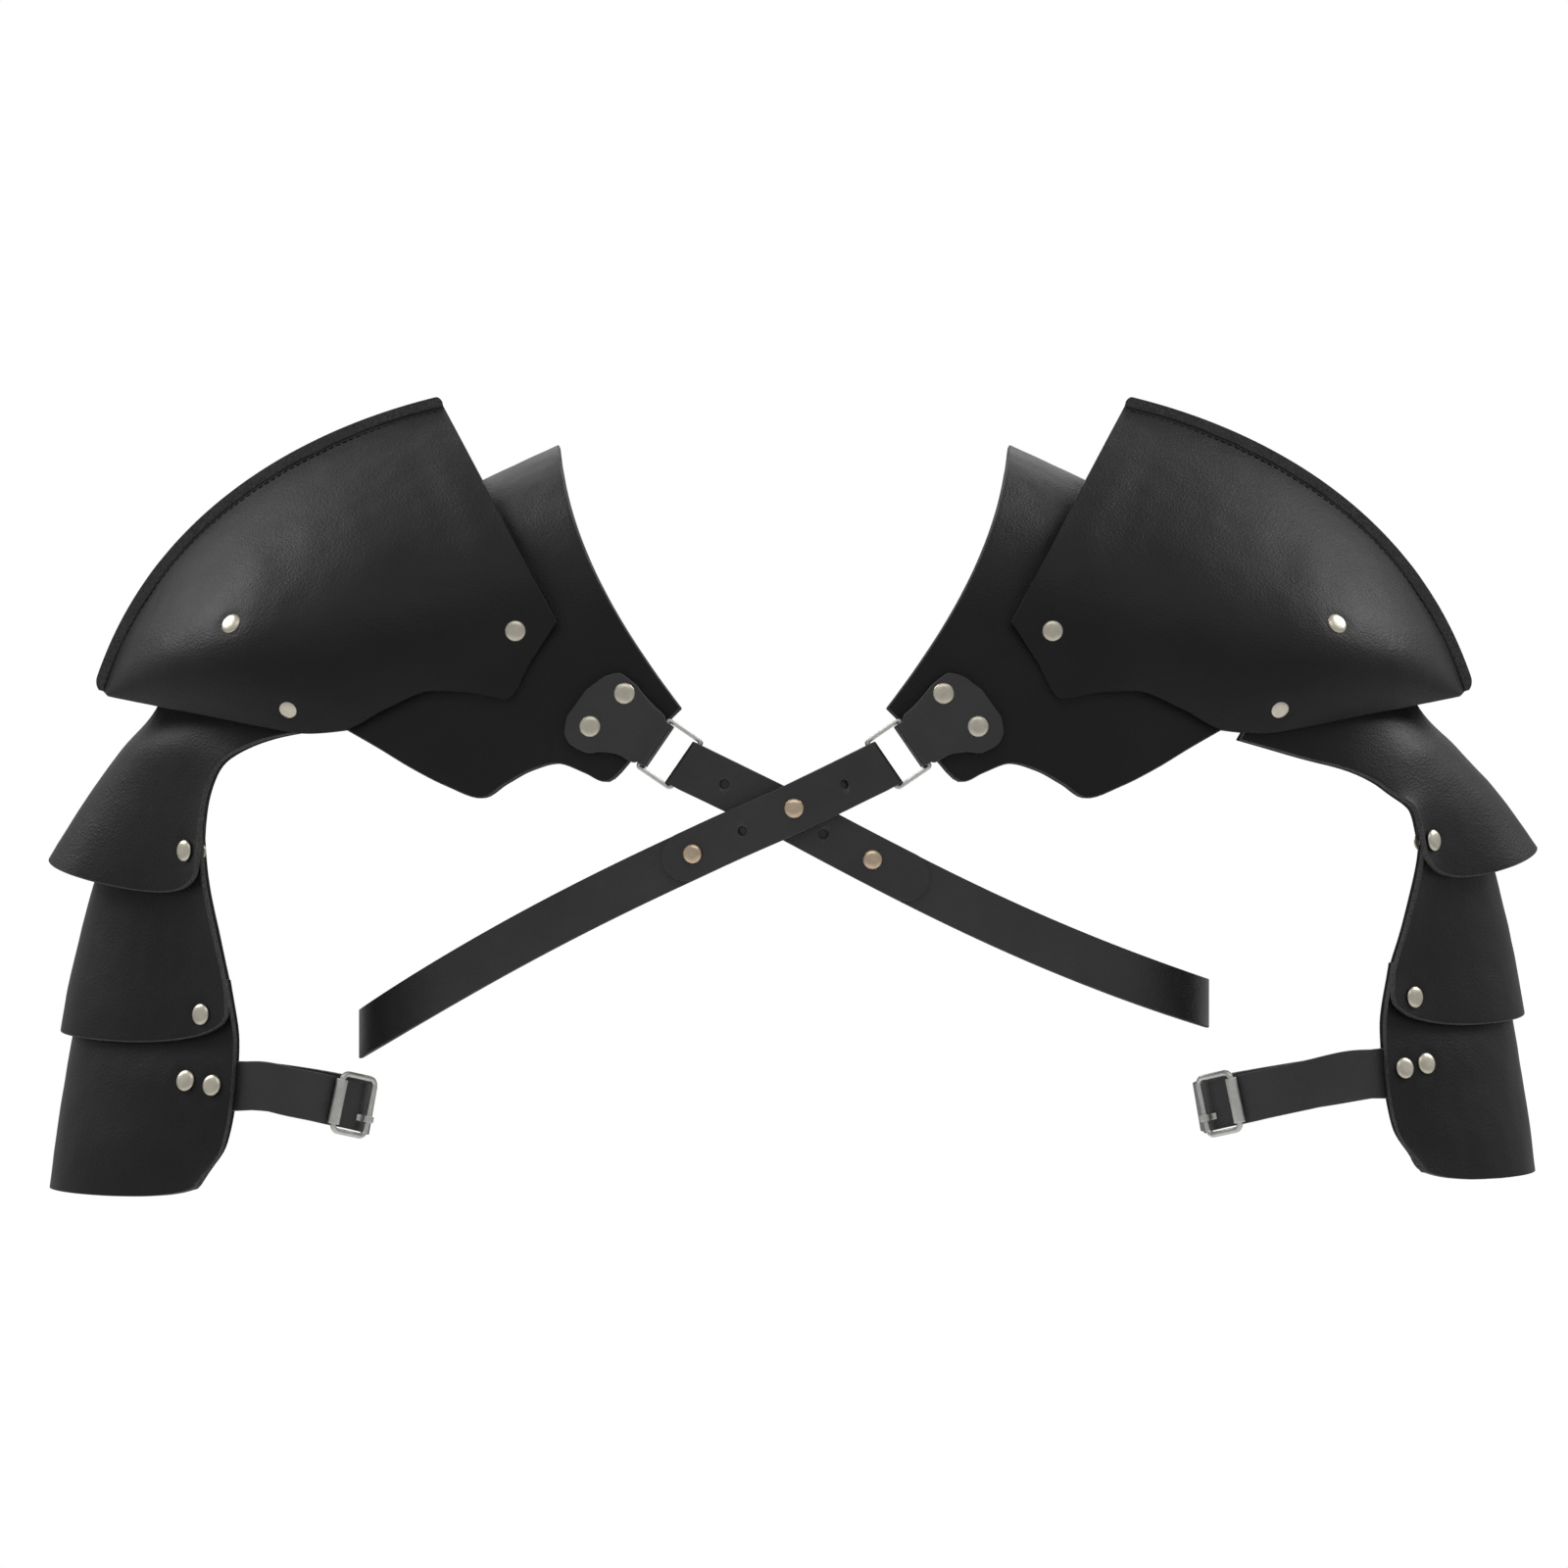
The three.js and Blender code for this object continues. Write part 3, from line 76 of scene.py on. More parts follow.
SEAM_HEIGHT = 4.2
SEAM_GAP = 0.3
SEAM_END = 0.024
SEAM_END_CUT = 0.8
LAME_DROP = 290
RIVET_TAIL = 7
RING_LONG = 24.5
RING_SHORT = 17.5
RING_WIRE = 1.8
RING_CORNER = 1.9
RING_ANGLE = 34.5
TAB_ANGLE = 35.5
TAB_LENGTH = 37
TAB_WIDTH = 40
FOLD_CLEAR = 2.4
CHEST_FOLD_X = 41.8
CHEST_CROSS_Z = -131.8
CHEST_SLOPE = 0.49
CHEST_SWAY_BACK = 0.4
CHEST_REAR_RETURN = 26
CHEST_HOLE_PITCH = 22.3
CHEST_FIRST_HOLE = 20
CROSS_LIFT = 7
CROSS_LIFT_REAR = 2.9
CROSS_FLAT = 14
CROSS_RUN = 30
BUCKLE_LENGTH = 20
BUCKLE_HEIGHT = 26
BUCKLE_WIRE = 2.4
BUCKLE_CORNER = 4
ROLLER_DIAMETER = 4.8
ROLLER_LENGTH = 18.5
PRONG_WIDTH = 2.6
PRONG_THICKNESS = 1
PRONG_OFFSET = -4.5
PRONG_REACH = 11

# Looks that the solids don't have

CUT_ROUND = 0.55
UNEVEN_SLOW = 0.28
UNEVEN_FINE = 0.16
DENT_RADIUS = 9
DENT_DEPTH = 0.75
TAB_DENT_RADIUS = 7.5
TAB_DENT_DEPTH = 0.45
HOLE_RADIUS = 1.95
FREE_HOLES = (0, 2)
RIVET_SUNK = 0.75
RIVET_DOME = 1.45
STUD_DOME = 1.9

# name, sign, front shift, side shift, lift, tip and sway of the chest strap, passes over
SIDES = [("right", -1, 0, 0, 0, 112, -6.5, False), ("left", 1, 21, 7, 7, 100, 6, True)]

# crest, out, down
YOKE_SECTIONS = [
    (0.00, 0.000, 0.745), (0.10, 0.111, 0.849), (0.19, 0.220, 0.954), (0.26, 0.286, 0.928),
    (0.34, 0.366, 0.902), (0.42, 0.446, 0.922), (0.50, 0.519, 0.960), (0.58, 0.592, 1.000),
    (0.69, 0.694, 0.965), (0.80, 0.796, 0.915), (0.90, 0.898, 0.856), (1.00, 1.000, 0.800),
]
# ridge, out, down, belly, tuck
CAP_SECTIONS = [
    (0.00, 0.000, 0.672, 0.98, 0.00), (0.05, 0.056, 0.786, 0.86, 0.00),
    (0.11, 0.112, 0.899, 0.78, 0.00), (0.19, 0.199, 0.879, 0.81, 0.01),
    (0.27, 0.276, 0.875, 0.82, 0.03), (0.37, 0.374, 0.925, 0.79, 0.06),
    (0.47, 0.472, 0.991, 0.75, 0.09), (0.56, 0.559, 1.000, 0.72, 0.10),
    (0.67, 0.668, 0.977, 0.71, 0.10), (0.79, 0.798, 0.941, 0.72, 0.10),
    (0.91, 0.918, 0.912, 0.76, 0.06), (1.00, 1.000, 0.890, 0.85, 0.00),
]
# front, front depth, front down, turn, shift, front lift,
# side, side depth, side down, side lift, dip, rear
LAMES = {
    "lame_1": [
        (0.612, 0.758, 0.335, 16, 0.07, -0.7, 0.815, 0.00, 0.172, 0, 0.000, 0.92),
        (0.700, 0.667, 0.350, 32, 0.45, -1.4, 0.850, 0.06, 0.303, 0, 0.000, 0.80),
        (0.765, 0.590, 0.384, 46, 0.70, -1.4, 0.897, 0.12, 0.362, 0, 0.000, 0.72),
        (0.790, 0.553, 0.448, 58, 0.95, 0, 0.944, 0.18, 0.428, 0.3, 0.010, 0.74),
        (0.797, 0.550, 0.524, 61, 1.05, 1.2, 1.000, 0.22, 0.521, 0.7, 0.044, 0.70),
    ],
    "lame_2": [
        (0.795, 0.450, 0.441, 61, 0.92, 0.6, 0.887, 0.18, 0.431, 0, 0.000, 0.65),
        (0.789, 0.494, 0.538, 60, 1.12, 1, 0.930, 0.20, 0.528, 1, 0.000, 0.69),
        (0.772, 0.540, 0.631, 55, 1.08, 1, 0.957, 0.22, 0.628, 1, 0.000, 0.69),
        (0.757, 0.580, 0.707, 49, 1.00, 1, 0.975, 0.24, 0.707, 1, 0.005, 0.68),
        (0.756, 0.591, 0.738, 48, 1.00, 1, 0.984, 0.24, 0.762, 1, 0.022, 0.68),
    ],
    "lame_3": [
        (0.758, 0.509, 0.690, 50, 1.00, 1, 0.947, 0.24, 0.690, 1, 0.000, 0.63),
        (0.745, 0.561, 0.779, 43, 1.00, 1, 0.968, 0.25, 0.772, 1, 0.000, 0.63),
        (0.748, 0.581, 0.845, 36, 1.00, 1, 0.979, 0.26, 0.841, 1, 0.000, 0.66),
        (0.762, 0.575, 0.924, 34, 1.00, 1, 0.989, 0.26, 0.910, 1, 0.000, 0.66),
        (0.795, 0.535, 0.974, 40, 1.00, 1, 0.998, 0.26, 0.983, 1, 0.014, 0.64),
    ],
}
LAME_FRONT_PULL = 0.33
LAME_SIDE_PULL = 0.36
# out, back, down, shift
ARM_STRAP_ROUTE = [
    (0.704, -0.622, 0.838, 0.9), (0.668, -0.668, 0.846, 0.6), (0.634, -0.674, 0.853, 0.25),
    (0.613, -0.650, 0.858, 0.1), (0.590, -0.591, 0.863, 0.1), (0.570, -0.530, 0.868, 0.1),
    (0.562, -0.450, 0.871, 0.1), (0.560, -0.240, 0.873, 0.1), (0.561, 0.050, 0.872, 0.1),
    (0.565, 0.310, 0.868, 0.0), (0.595, 0.545, 0.860, 0.0), (0.650, 0.720, 0.850, 0.0),
    (0.710, 0.790, 0.842, 0.4),
]
ARM_STRAP_TILT = 0.187
ARM_STRAP_LIFT = 0.7
ARM_STRAP_UNDER_FRONT = [0.3, 0.2, 0.1, 0.02]
ARM_STRAP_UNDER_REAR = [1.96, 1.9, 1.82, 1.74]
BUCKLE_ROW = 4
# along, low, high
TAB_OUTLINE = [
    (0.00, -0.252, 0.252), (0.09, -0.252, 0.252), (0.12, -0.290, 0.285), (0.28, -0.310, 0.300),
    (0.46, -0.345, 0.380), (0.60, -0.380, 0.480), (0.78, -0.385, 0.505), (0.90, -0.290, 0.460),
    (1.00, -0.070, 0.330),
]
REAR_TAB_OUTLINE = [
    (0.00, -0.252, 0.252), (0.09, -0.252, 0.252), (0.36, -0.300, 0.300), (0.72, -0.300, 0.300),
    (0.84, -0.180, 0.180),
]


# Small maths

def vec(x, y, z):
    return Vector((x, y, z))


def mix(a, b, t):
    return a + (b - a) * t


def clamp01(t):
    return min(1.0, max(0.0, t))


def ease(t):
    t = clamp01(t)
    return t * t * (3 - 2 * t)


def cubic(p0, p1, p2, p3, t):
    s = 1 - t
    return s ** 3 * p0 + 3 * s * s * t * p1 + 3 * s * t * t * p2 + t ** 3 * p3


def spaced(start, end, count):
    return [mix(start, end, k / count) for k in range(count + 1)]


def flowing(xs, ys, at):
    """A curve through points that never overshoots them."""
    at = min(max(at, xs[0]), xs[-1])
    i = 0
    while i < len(xs) - 2 and xs[i + 1] < at:
        i += 1

    def secant(k):
        return (ys[k + 1] - ys[k]) / (xs[k + 1] - xs[k])

    def slope(k):
        if k == 0 or k == len(xs) - 1:
            return secant(min(k, len(xs) - 2))
        a, b = secant(k - 1), secant(k)
        return 0.0 if a * b <= 0 else 2 * a * b / (a + b)

    h = xs[i + 1] - xs[i]
    t = (at - xs[i]) / h
    return (ys[i] * (1 + 2 * t) * (1 - t) ** 2 + h * slope(i) * t * (1 - t) ** 2
            + ys[i + 1] * t * t * (3 - 2 * t) - h * slope(i + 1) * t * t * (1 - t))


def column(table, index, at):
    """Value of a table column at a place from 0 to 1 over its rows."""
    xs = [k / (len(table) - 1) for k in range(len(table))]
    return flowing(xs, [row[index] for row in table], at)


# Surfaces

def girth_depth(x):
    return GIRTH_DEPTH * math.sqrt(1 - (x / GIRTH_HALF) ** 2)


def torso_depth(x):
    return TORSO_DEPTH * math.sqrt(max(0.0, 1 - (x / TORSO_HALF) ** 2))


def crest_z(x):
    share = (x - YOKE_NECK_X) / YOKE_CREST_REACH
    return YOKE_NECK_Z - YOKE_CREST_FALL * share - YOKE_CREST_BOW * share * abs(share)


def shoulder_depth(x, z):
    share = clamp01((crest_z(x) - z) / YOKE_ROUND)
    return girth_depth(x) * math.sqrt(1 - (1 - share) ** 2)


def yoke_point(u, v):
    t = abs(v)
    crest_x = YOKE_NECK_X + column(YOKE_SECTIONS, 0, u) * YOKE_CREST_REACH
    hem_x = YOKE_HEM_X + column(YOKE_SECTIONS, 1, u) * YOKE_HEM_REACH
    hem_z = YOKE_NECK_Z - column(YOKE_SECTIONS, 2, u) * YOKE_HEM_DROP
    neck_w = YOKE_HEM_X - YOKE_NECK_X
    neck_h = -YOKE_SECTIONS[0][2] * YOKE_HEM_DROP
    fade = (1 - u) ** 2
    x = mix(crest_x, hem_x, t) + fade * neck_w * (cubic(0, 0.06, 0.42, 1, t) - t)
    z = mix(crest_z(crest_x), hem_z, t) + fade * neck_h * (cubic(0, 0.33, 0.65, 1, t) - t)
    return vec(x, math.copysign(shoulder_depth(x, z), v) if t else 0, z)


def cap_ridge(share):
    return (CAP_NECK_X + CAP_LENGTH * cubic(0, 0.41, 0.85, 1, share),
            CAP_NECK_Z - CAP_FALL * cubic(0, 0.115, 0.41, 1, share))


def cap_ridge_out(share):
    ax, az = cap_ridge(clamp01(share - 0.01))
    bx, bz = cap_ridge(clamp01(share + 0.01))
    return vec(az - bz, 0, bx - ax).normalized()


def cap_hem_depth(x):
    taper = clamp01((x - CAP_TAPER_START) / (CAP_TAPER_END - CAP_TAPER_START))
    return (girth_depth(x) + PLATE + 2 * GAP) * math.sqrt(1 - taper * taper)


def cap_point(u, t, facing):
    """Cap panel: t runs from the stitches to the hem, and is negative up the seam."""
    share = column(CAP_SECTIONS, 0, u)
    top_x, top_z = cap_ridge(share)
    top = vec(top_x, 0, top_z)
    seam_depth = SEAM_GAP / 2 + PLATE
    base = top - cap_ridge_out(share) * SEAM_HEIGHT
    if t < 0:
        end = clamp01(min(u, 1 - u) / SEAM_END)
        place = base.lerp(top, -t * math.sqrt(1 - (1 - end) ** 2 * SEAM_END_CUT))
        return vec(place.x, facing * seam_depth, place.z)
    hem_x = CAP_HEM_X + column(CAP_SECTIONS, 1, u) * CAP_HEM_REACH
    hem_z = CAP_NECK_Z - column(CAP_SECTIONS, 2, u) * CAP_HEM_DROP
    belly = column(CAP_SECTIONS, 3, u)
    tuck = column(CAP_SECTIONS, 4, u)
    if t < belly:
        share = 1 - ((belly - t) / belly) ** 2
    else:
        share = 1 - tuck * ((t - belly) / (1 - belly)) ** 2
    deep = (cap_hem_depth(hem_x) - seam_depth) * share / (1 - tuck)
    return vec(mix(base.x, hem_x, t), facing * (seam_depth + deep), mix(base.z, hem_z, t))


def lame_point(rows, side, u, v):
    values = [column(rows, k, v) for k in range(12)]
    front, deep, front_down, turn, shift, front_lift = values[:6]
    edge, edge_deep, side_down, side_lift, dip, rear = values[6:]
    front = front * ARM_REACH + shift * side[2]
    front_y = -deep * GIRTH_DEPTH + shift * side[2] * 0.3
    edge = edge * ARM_REACH + shift * side[3]
    edge_y = edge_deep * GIRTH_DEPTH
    turn = math.radians(turn)
    t = u if u <= 1 else 2 - u
    chord = math.hypot(edge - front, edge_y - front_y)
    pull = LAME_FRONT_PULL * chord
    x = cubic(front, front + pull * math.cos(turn), edge, edge, t)
    y = cubic(front_y, front_y + pull * math.sin(turn), edge_y - LAME_SIDE_PULL * chord,
              edge_y, t)
    sag = dip * math.sin(math.pi * math.sqrt(max(t, 0)))
    down = mix(side_down, front_down, (1 - t) ** 3) + sag
    lift = side[4] * mix(side_lift, front_lift, (1 - t) ** 3)
    if u > 1:
        y = edge_y + rear * (edge_y - y)
    return vec(x, y, lift - down * LAME_DROP)


# Chest strap

def chest_point(side, angle):
    x = -TORSO_HALF * math.sin(angle)
    deep = torso_depth(x)
    if x > 0:
        deep = max(deep, girth_depth(x) + GAP)
    past = max(0.0, -x / TORSO_HALF)
    stray = side[6] * (CHEST_SWAY_BACK * math.sin(math.pi * past) - past ** 3)
    z = CHEST_CROSS_Z + CHEST_SLOPE * x + stray
    return vec(x, -math.copysign(1, math.cos(angle)) * deep, z)


class ChestRoute:
    """Foot of the strap's inner face against the distance along it."""

    def __init__(self, side):
        self.side = side
        first = -math.asin(CHEST_FOLD_X / TORSO_HALF)
        self.angles = np.linspace(first, math.pi - first, 1441)
        places = [chest_point(side, a) for a in self.angles]
        steps = [0.0] + [(b - a).length for a, b in zip(places, places[1:])]
        self.lengths = np.cumsum(steps)
        self.length = float(self.lengths[-1])
        self.cross_front = self.at_angle(0)
        self.cross_rear = self.at_angle(math.pi)

    def at_angle(self, angle):
        return float(np.interp(angle, self.angles, self.lengths))

    def frame(self, s):
        angle = float(np.interp(s, self.lengths, self.angles))
        place = chest_point(self.side, angle)
        ahead = chest_point(self.side, angle + 0.01)
        along = (ahead - chest_point(self.side, angle - 0.01)).normalized()
        up = vec(along.y, -along.x, 0).normalized()
        if up.dot(vec(place.x, place.y, 0)) < 0:
            up.negate()
        return place, along, up, along.cross(up).normalized()


ROUTES = {side[0]: ChestRoute(side) for side in SIDES}


def chest_lift(side, s):
    if not side[7]:
        return 0.0
    route = ROUTES[side[0]]

    def hump(at, height):
        away = max(0, abs(s - at) - CROSS_FLAT)
        return height * ease(1 - away / CROSS_RUN)

    return hump(route.cross_front, CROSS_LIFT) + hump(route.cross_rear, CROSS_LIFT_REAR)


def fold_gap(s):
    return mix(FOLD_CLEAR, STRAP_LAYER_GAP, ease((s - 5) / 12))


FOLD_RADIUS = (STRAP + FOLD_CLEAR) / 2


def folded_steps(upper, lower):
    """Distances from the fold and heights, from the free end round the bar and back."""
    steps = [(s, STRAP * 1.5 + fold_gap(s)) for s in upper]
    for angle in spaced(90, 270, 12):
        a = math.radians(angle)
        steps.append((FOLD_RADIUS * (1 + math.cos(a)),
                      STRAP / 2 + FOLD_RADIUS * (1 + math.sin(a))))
    return steps + [(s, STRAP / 2) for s in lower]


def ring_bars():
    height = STRAP + FOLD_CLEAR / 2
    place, _, strap_up, _ = ROUTES["right"].frame(FOLD_RADIUS)
    strap_bar = place + strap_up * height
    apart = RING_SHORT - RING_WIRE
    x = strap_bar.x + apart * math.cos(math.radians(RING_ANGLE))
    z = strap_bar.z + apart * math.sin(math.radians(RING_ANGLE))
    tab_bar = vec(x, -(girth_depth(x) + GAP + height), z)
    slope = (girth_depth(x + 9) - girth_depth(x + 11)) / 2
    tab_up = vec(slope, -1, 0).normalized()
    short = (tab_bar - strap_bar).normalized()
    long = short.cross(tab_up + strap_up).normalized()
    return strap_bar, tab_bar, height, tab_up, short, long


def stations_along(steps, place, half_at):
    """Stations of a strip: centre, across, up and half width."""
    stations = []
    for k, (s, h) in enumerate(steps):
        s0, h0 = steps[max(0, k - 1)]
        s1, h1 = steps[min(len(steps) - 1, k + 1)]
        run = math.hypot(s1 - s0, h1 - h0)
        centre, along, up, across = place(s, h)
        turned = up * ((s1 - s0) / run) - along * ((h1 - h0) / run)
        stations.append((centre, across, turned, half_at(s, k)))
    return stations


def chest_stations(side):
    half = STRAP_WIDTH / 2
    tip = side[5]
    route = ROUTES[side[0]]
    shares = [0.0, 0.03, 0.1, 0.2, 0.34, 0.5, 0.7, 0.85, 1.0]
    upper = [tip - share * half for share in shares] + spaced(tip - half - 2.5, 4, 38)
    lower = [4, 8, 12] + spaced(16, route.length - 12, 250)
    rear = [(route.length - s, STRAP * 2 + FOLD_CLEAR - h)
            for s, h in folded_steps([], [4, 8, 12, 16, 20, CHEST_REAR_RETURN])]
    front_bar = ring_bars()[5]
    rear_bar = vec(front_bar.x, -front_bar.y, front_bar.z)

    def place(s, h):
        foot, along, up, across = route.frame(s)
        bar = front_bar if s < route.length / 2 else rear_bar
        skewed = bar / bar.dot(across) - across
        from_end = min(s, route.length - s)
        across = across + skewed * (1 - ease((from_end - 4) / 14))
        return foot + up * (h + chest_lift(side, s)), along, up, across

    def half_at(s, k):
        if k >= len(shares):
            return half
        return half * math.sqrt(max(0.02, 1 - (1 - (tip - s) / half) ** 2))

    return stations_along(folded_steps(upper, lower) + rear, place, half_at)


def tab_frame():
    _, tab_bar, height, up, _, long = ring_bars()
    angle = math.radians(TAB_ANGLE)
    along = vec(-up.y, up.x, 0) * math.cos(angle) + vec(0, 0, math.sin(angle))
    across = along.cross(up).normalized()
    skewed = long / long.dot(across) - across
    fold = tab_bar - up * height - along * FOLD_RADIUS
    return along, up, across, skewed, fold


def tab_stations(outline, sink, fine):
    along, up, across, skewed, fold = tab_frame()
    shares = [row[0] for row in outline]

    def edge(s, index):
        return TAB_WIDTH * flowing(shares, [row[index] for row in outline], s / TAB_LENGTH)

    def place(s, h):
        turned = across + skewed * (1 - ease((s - 3) / 14))
        middle = (edge(s, 1) + edge(s, 2)) / 2
        return fold + along * s + up * h + turned * middle, along, up, turned

    end = shares[-1] * TAB_LENGTH
    stops = spaced(3, end - 3, fine) + [end - 2, end - 1.2, end - 0.6, end - 0.2, end]
    lower = [(s, h - sink * ease((s - 6) / 6)) for s, h in folded_steps([], stops)]
    upper = folded_steps(stops[::-1], [])[:len(stops)]

    def half_at(s, _):
        rounded = 1 - 0.16 * clamp01(1 - (end - s) / 3) ** 2
        return (edge(s, 2) - edge(s, 1)) / 2 * rounded

    return stations_along(upper + lower, place, half_at)


# Arm strap

def through(points):
    """A smooth curve through points, as a function from 0 to the last index."""
    def at(t):
        k = min(int(t), len(points) - 2)
        p0 = points[max(k - 1, 0)]
        p1, p2 = points[k], points[k + 1]
        p3 = points[min(k + 2, len(points) - 1)]
        d01 = max((p1 - p0).length, 1e-6) ** 0.5
        d12 = max((p2 - p1).length, 1e-6) ** 0.5
        d23 = max((p3 - p2).length, 1e-6) ** 0.5
        m1 = p2 - p1 if k == 0 else (
            (p1 - p0) / d01 - (p2 - p0) / (d01 + d12) + (p2 - p1) / d12) * d12
        m2 = p2 - p1 if k == len(points) - 2 else (
            (p2 - p1) / d12 - (p3 - p1) / (d12 + d23) + (p3 - p2) / d23) * d12
        u = t - k
        return (p1 * (2 * u ** 3 - 3 * u * u + 1) + m1 * (u ** 3 - 2 * u * u + u)
                + p2 * (3 * u * u - 2 * u ** 3) + m2 * (u ** 3 - u * u))
    return at


def arm_strap_path(side):
    rows = LAMES["lame_3"]
    level = ARM_STRAP_ROUTE[0][2] * LAME_DROP - ARM_STRAP_LIFT * side[4]
    inside = vec(ARM_REACH * 0.77, 0, -level)

    def under(u):
        v = min(spaced(0, 1, 200), key=lambda b: abs(lame_point(rows, side, u, b).z + level))
        place = lame_point(rows, side, u, v)
        du = lame_point(rows, side, u + 0.02, v) - lame_point(rows, side, u - 0.02, v)
        dv = lame_point(rows, side, u, v + 0.02) - lame_point(rows, side, u, v - 0.02)
        direction = du.cross(dv).normalized()
        if direction.dot(place - inside) < 0:
            direction.negate()
        clear = 1.2 if u < 1 else 2.4
        return place - direction * (PLATE + clear + STRAP / 2), direction

    free = []
    for out, back, down, shift in ARM_STRAP_ROUTE:
        place = vec(out * ARM_REACH + shift * side[2],
                    back * GIRTH_DEPTH + shift * side[2] * 0.3,
                    shift * ARM_STRAP_LIFT * side[4] - down * LAME_DROP)
        reach = place.x - inside.x
        free.append((place, vec(reach, place.y, ARM_STRAP_TILT * reach).normalized()))
    stops = ([under(u) for u in ARM_STRAP_UNDER_FRONT] + free
             + [under(u) for u in ARM_STRAP_UNDER_REAR])
    return stops, through([stop[0] for stop in stops])


def arm_strap_frame(stops, curve, at):
    centre = curve(at)
    ahead = curve(min(at + 0.01, len(stops) - 1))
    along = (ahead - curve(max(at - 0.01, 0))).normalized()
    k = min(int(at), len(stops) - 2)
    lean = mix(stops[k][1].z, stops[k + 1][1].z, at - k)
    up = vec(along.y, -along.x, 0).normalized()
    if up.dot(stops[round(at)][1]) < 0:
        up.negate()
    up = up + vec(0, 0, lean)
    up = (up - along * up.dot(along)).normalized()
    across = along.cross(up).normalized()
    if across.z < 0:
        across.negate()
    return centre, along, up, across


# Meshes

def new_object(name, verts, faces, sign, materials):
    """Makes a mesh in metres, mirrored for the right side, with its faces outward."""
    mesh = bpy.data.meshes.new(name)
    mesh.from_pydata([(v.x * sign * 0.001, v.y * 0.001, v.z * 0.001) for v in verts], [],
                     [f[::-1] for f in faces] if sign < 0 else faces)
    for material in materials:
        mesh.materials.append(material)
    mesh.polygons.foreach_set("use_smooth", [True] * len(mesh.polygons))
    mesh.update()
    obj = bpy.data.objects.new(name, mesh)
    bpy.context.collection.objects.link(obj)
    return obj


def facing_out(obj):
    bm = bmesh.new()
    bm.from_mesh(obj.data)
    bmesh.ops.remove_doubles(bm, verts=bm.verts, dist=1e-6)
    bmesh.ops.recalc_face_normals(bm, faces=bm.faces)
    if bm.calc_volume(signed=True) < 0:
        bmesh.ops.reverse_faces(bm, faces=bm.faces)
    bm.to_mesh(obj.data)
    bm.free()


def settle(piece, node):
    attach(piece, "root")
    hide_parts(node)


def plate(name, grid, side, outward, dents, materials, raw_and_lit_rows=0):
    """A leather plate from a grid of points on its outer face, with rounded cut edges. The
    first rows take the pale cut-edge finish: partly the leather's raw fibres, partly a
    painted highlight where the seam strip faces the light from above."""
    rows, columns = len(grid), len(grid[0])
    points = [p for row in grid for p in row]
    faces = []
    for j in range(rows - 1):
        for i in range(columns - 1):
            a, b = j * columns + i, j * columns + i + 1
            quad = (a, b, b + columns, a + columns)
            faces.append(quad if outward > 0 else quad[::-1])
    normals = [vec(0, 0, 0) for _ in points]
    for face in faces:
        a, b, c, d = (points[k] for k in face)
        normal = (c - a).cross(d - b)
        for k in face:
            normals[k] += normal
    worked = []
    for point, normal in zip(points, normals):
        normal = normal.normalized()
        push = (UNEVEN_SLOW * noise.noise(point * 0.035)
                + UNEVEN_FINE * noise.noise(point * 0.11))
        for place, radius, depth in dents:
            away = (point - place).length / radius
            if away < 1:
                push -= depth * (1 - away * away) ** 2
        worked.append(point + normal * push)
    obj = new_object(name, worked, faces, side[1], materials)
    # Seam strip rows get the pale edge material: raw fibres plus a painted highlight for the strip
    # lit from above.
    raw_and_lit_faces = raw_and_lit_rows * (columns - 1)
    obj.data.polygons.foreach_set("material_index", [int(k < raw_and_lit_faces) for k in range(len(faces))])
    solid = obj.modifiers.new("thickness", "SOLIDIFY")
    solid.thickness = PLATE * 0.001
    solid.offset = -1
    solid.use_even_offset = True
    solid.use_quality_normals = True
    solid.material_offset = 2
    solid.material_offset_rim = 1
    bevel = obj.modifiers.new("edge", "BEVEL")
    bevel.width = CUT_ROUND * 0.001
    bevel.segments = 2
    bevel.limit_method = "ANGLE"
    bevel.angle_limit = math.radians(55)
    bevel.material = 1
    even = obj.modifiers.new("shading", "WEIGHTED_NORMAL")
    even.mode = "FACE_AREA"
    even.weight = 50
    return obj


def sweep(name, stations, thickness, side, materials, edge=0.42, dents=(), wide=5):
    """A strip of leather with rounded edges through stations. The edges take slot 1."""
    t = thickness / 2
    positions = spaced(-1, 1, wide - 1)
    verts, faces, slots = [], [], []
    for centre, across, up, half in stations:
        inner = half - edge
        ring = [(w * inner, t) for w in positions]
        ring += [(half - edge * 0.25, t - edge * 0.25), (half, t - edge)]
        ring += [(half, -t + edge), (half - edge * 0.25, -t + edge * 0.25)]
        ring += [(w * inner, -t) for w in positions[::-1]]
        ring += [(-half + edge * 0.25, -t + edge * 0.25), (-half, -t + edge)]
        ring += [(-half, t - edge), (-half + edge * 0.25, t - edge * 0.25)]
        count = len(ring)
        for w, h in ring:
            place = centre + across * w + up * h
            if h > 0:
                for seat, radius, depth in dents:
                    away = (place - seat).length / radius
                    if away < 1:
                        place -= up * (depth * (1 - away * away) ** 2)
            verts.append(place)
    for k in range(len(stations) - 1):
        for i in range(count):
            j = (i + 1) % count
            faces.append((k * count + i, k * count + j, (k + 1) * count + j,
                          (k + 1) * count + i))
            slots.append(1 if wide - 1 < i < wide + 3 or i > 2 * wide + 3 else 0)
    last = (len(stations) - 1) * count
    faces.append(tuple(range(count))[::-1])
    faces.append(tuple(range(last, last + count)))
    slots += [1, 1]
    obj = new_object(name, verts, faces, side[1], materials)
    obj.data.polygons.foreach_set("material_index", slots)
    facing_out(obj)
    even = obj.modifiers.new("shading", "WEIGHTED_NORMAL")
    even.mode = "FACE_AREA"
    return obj


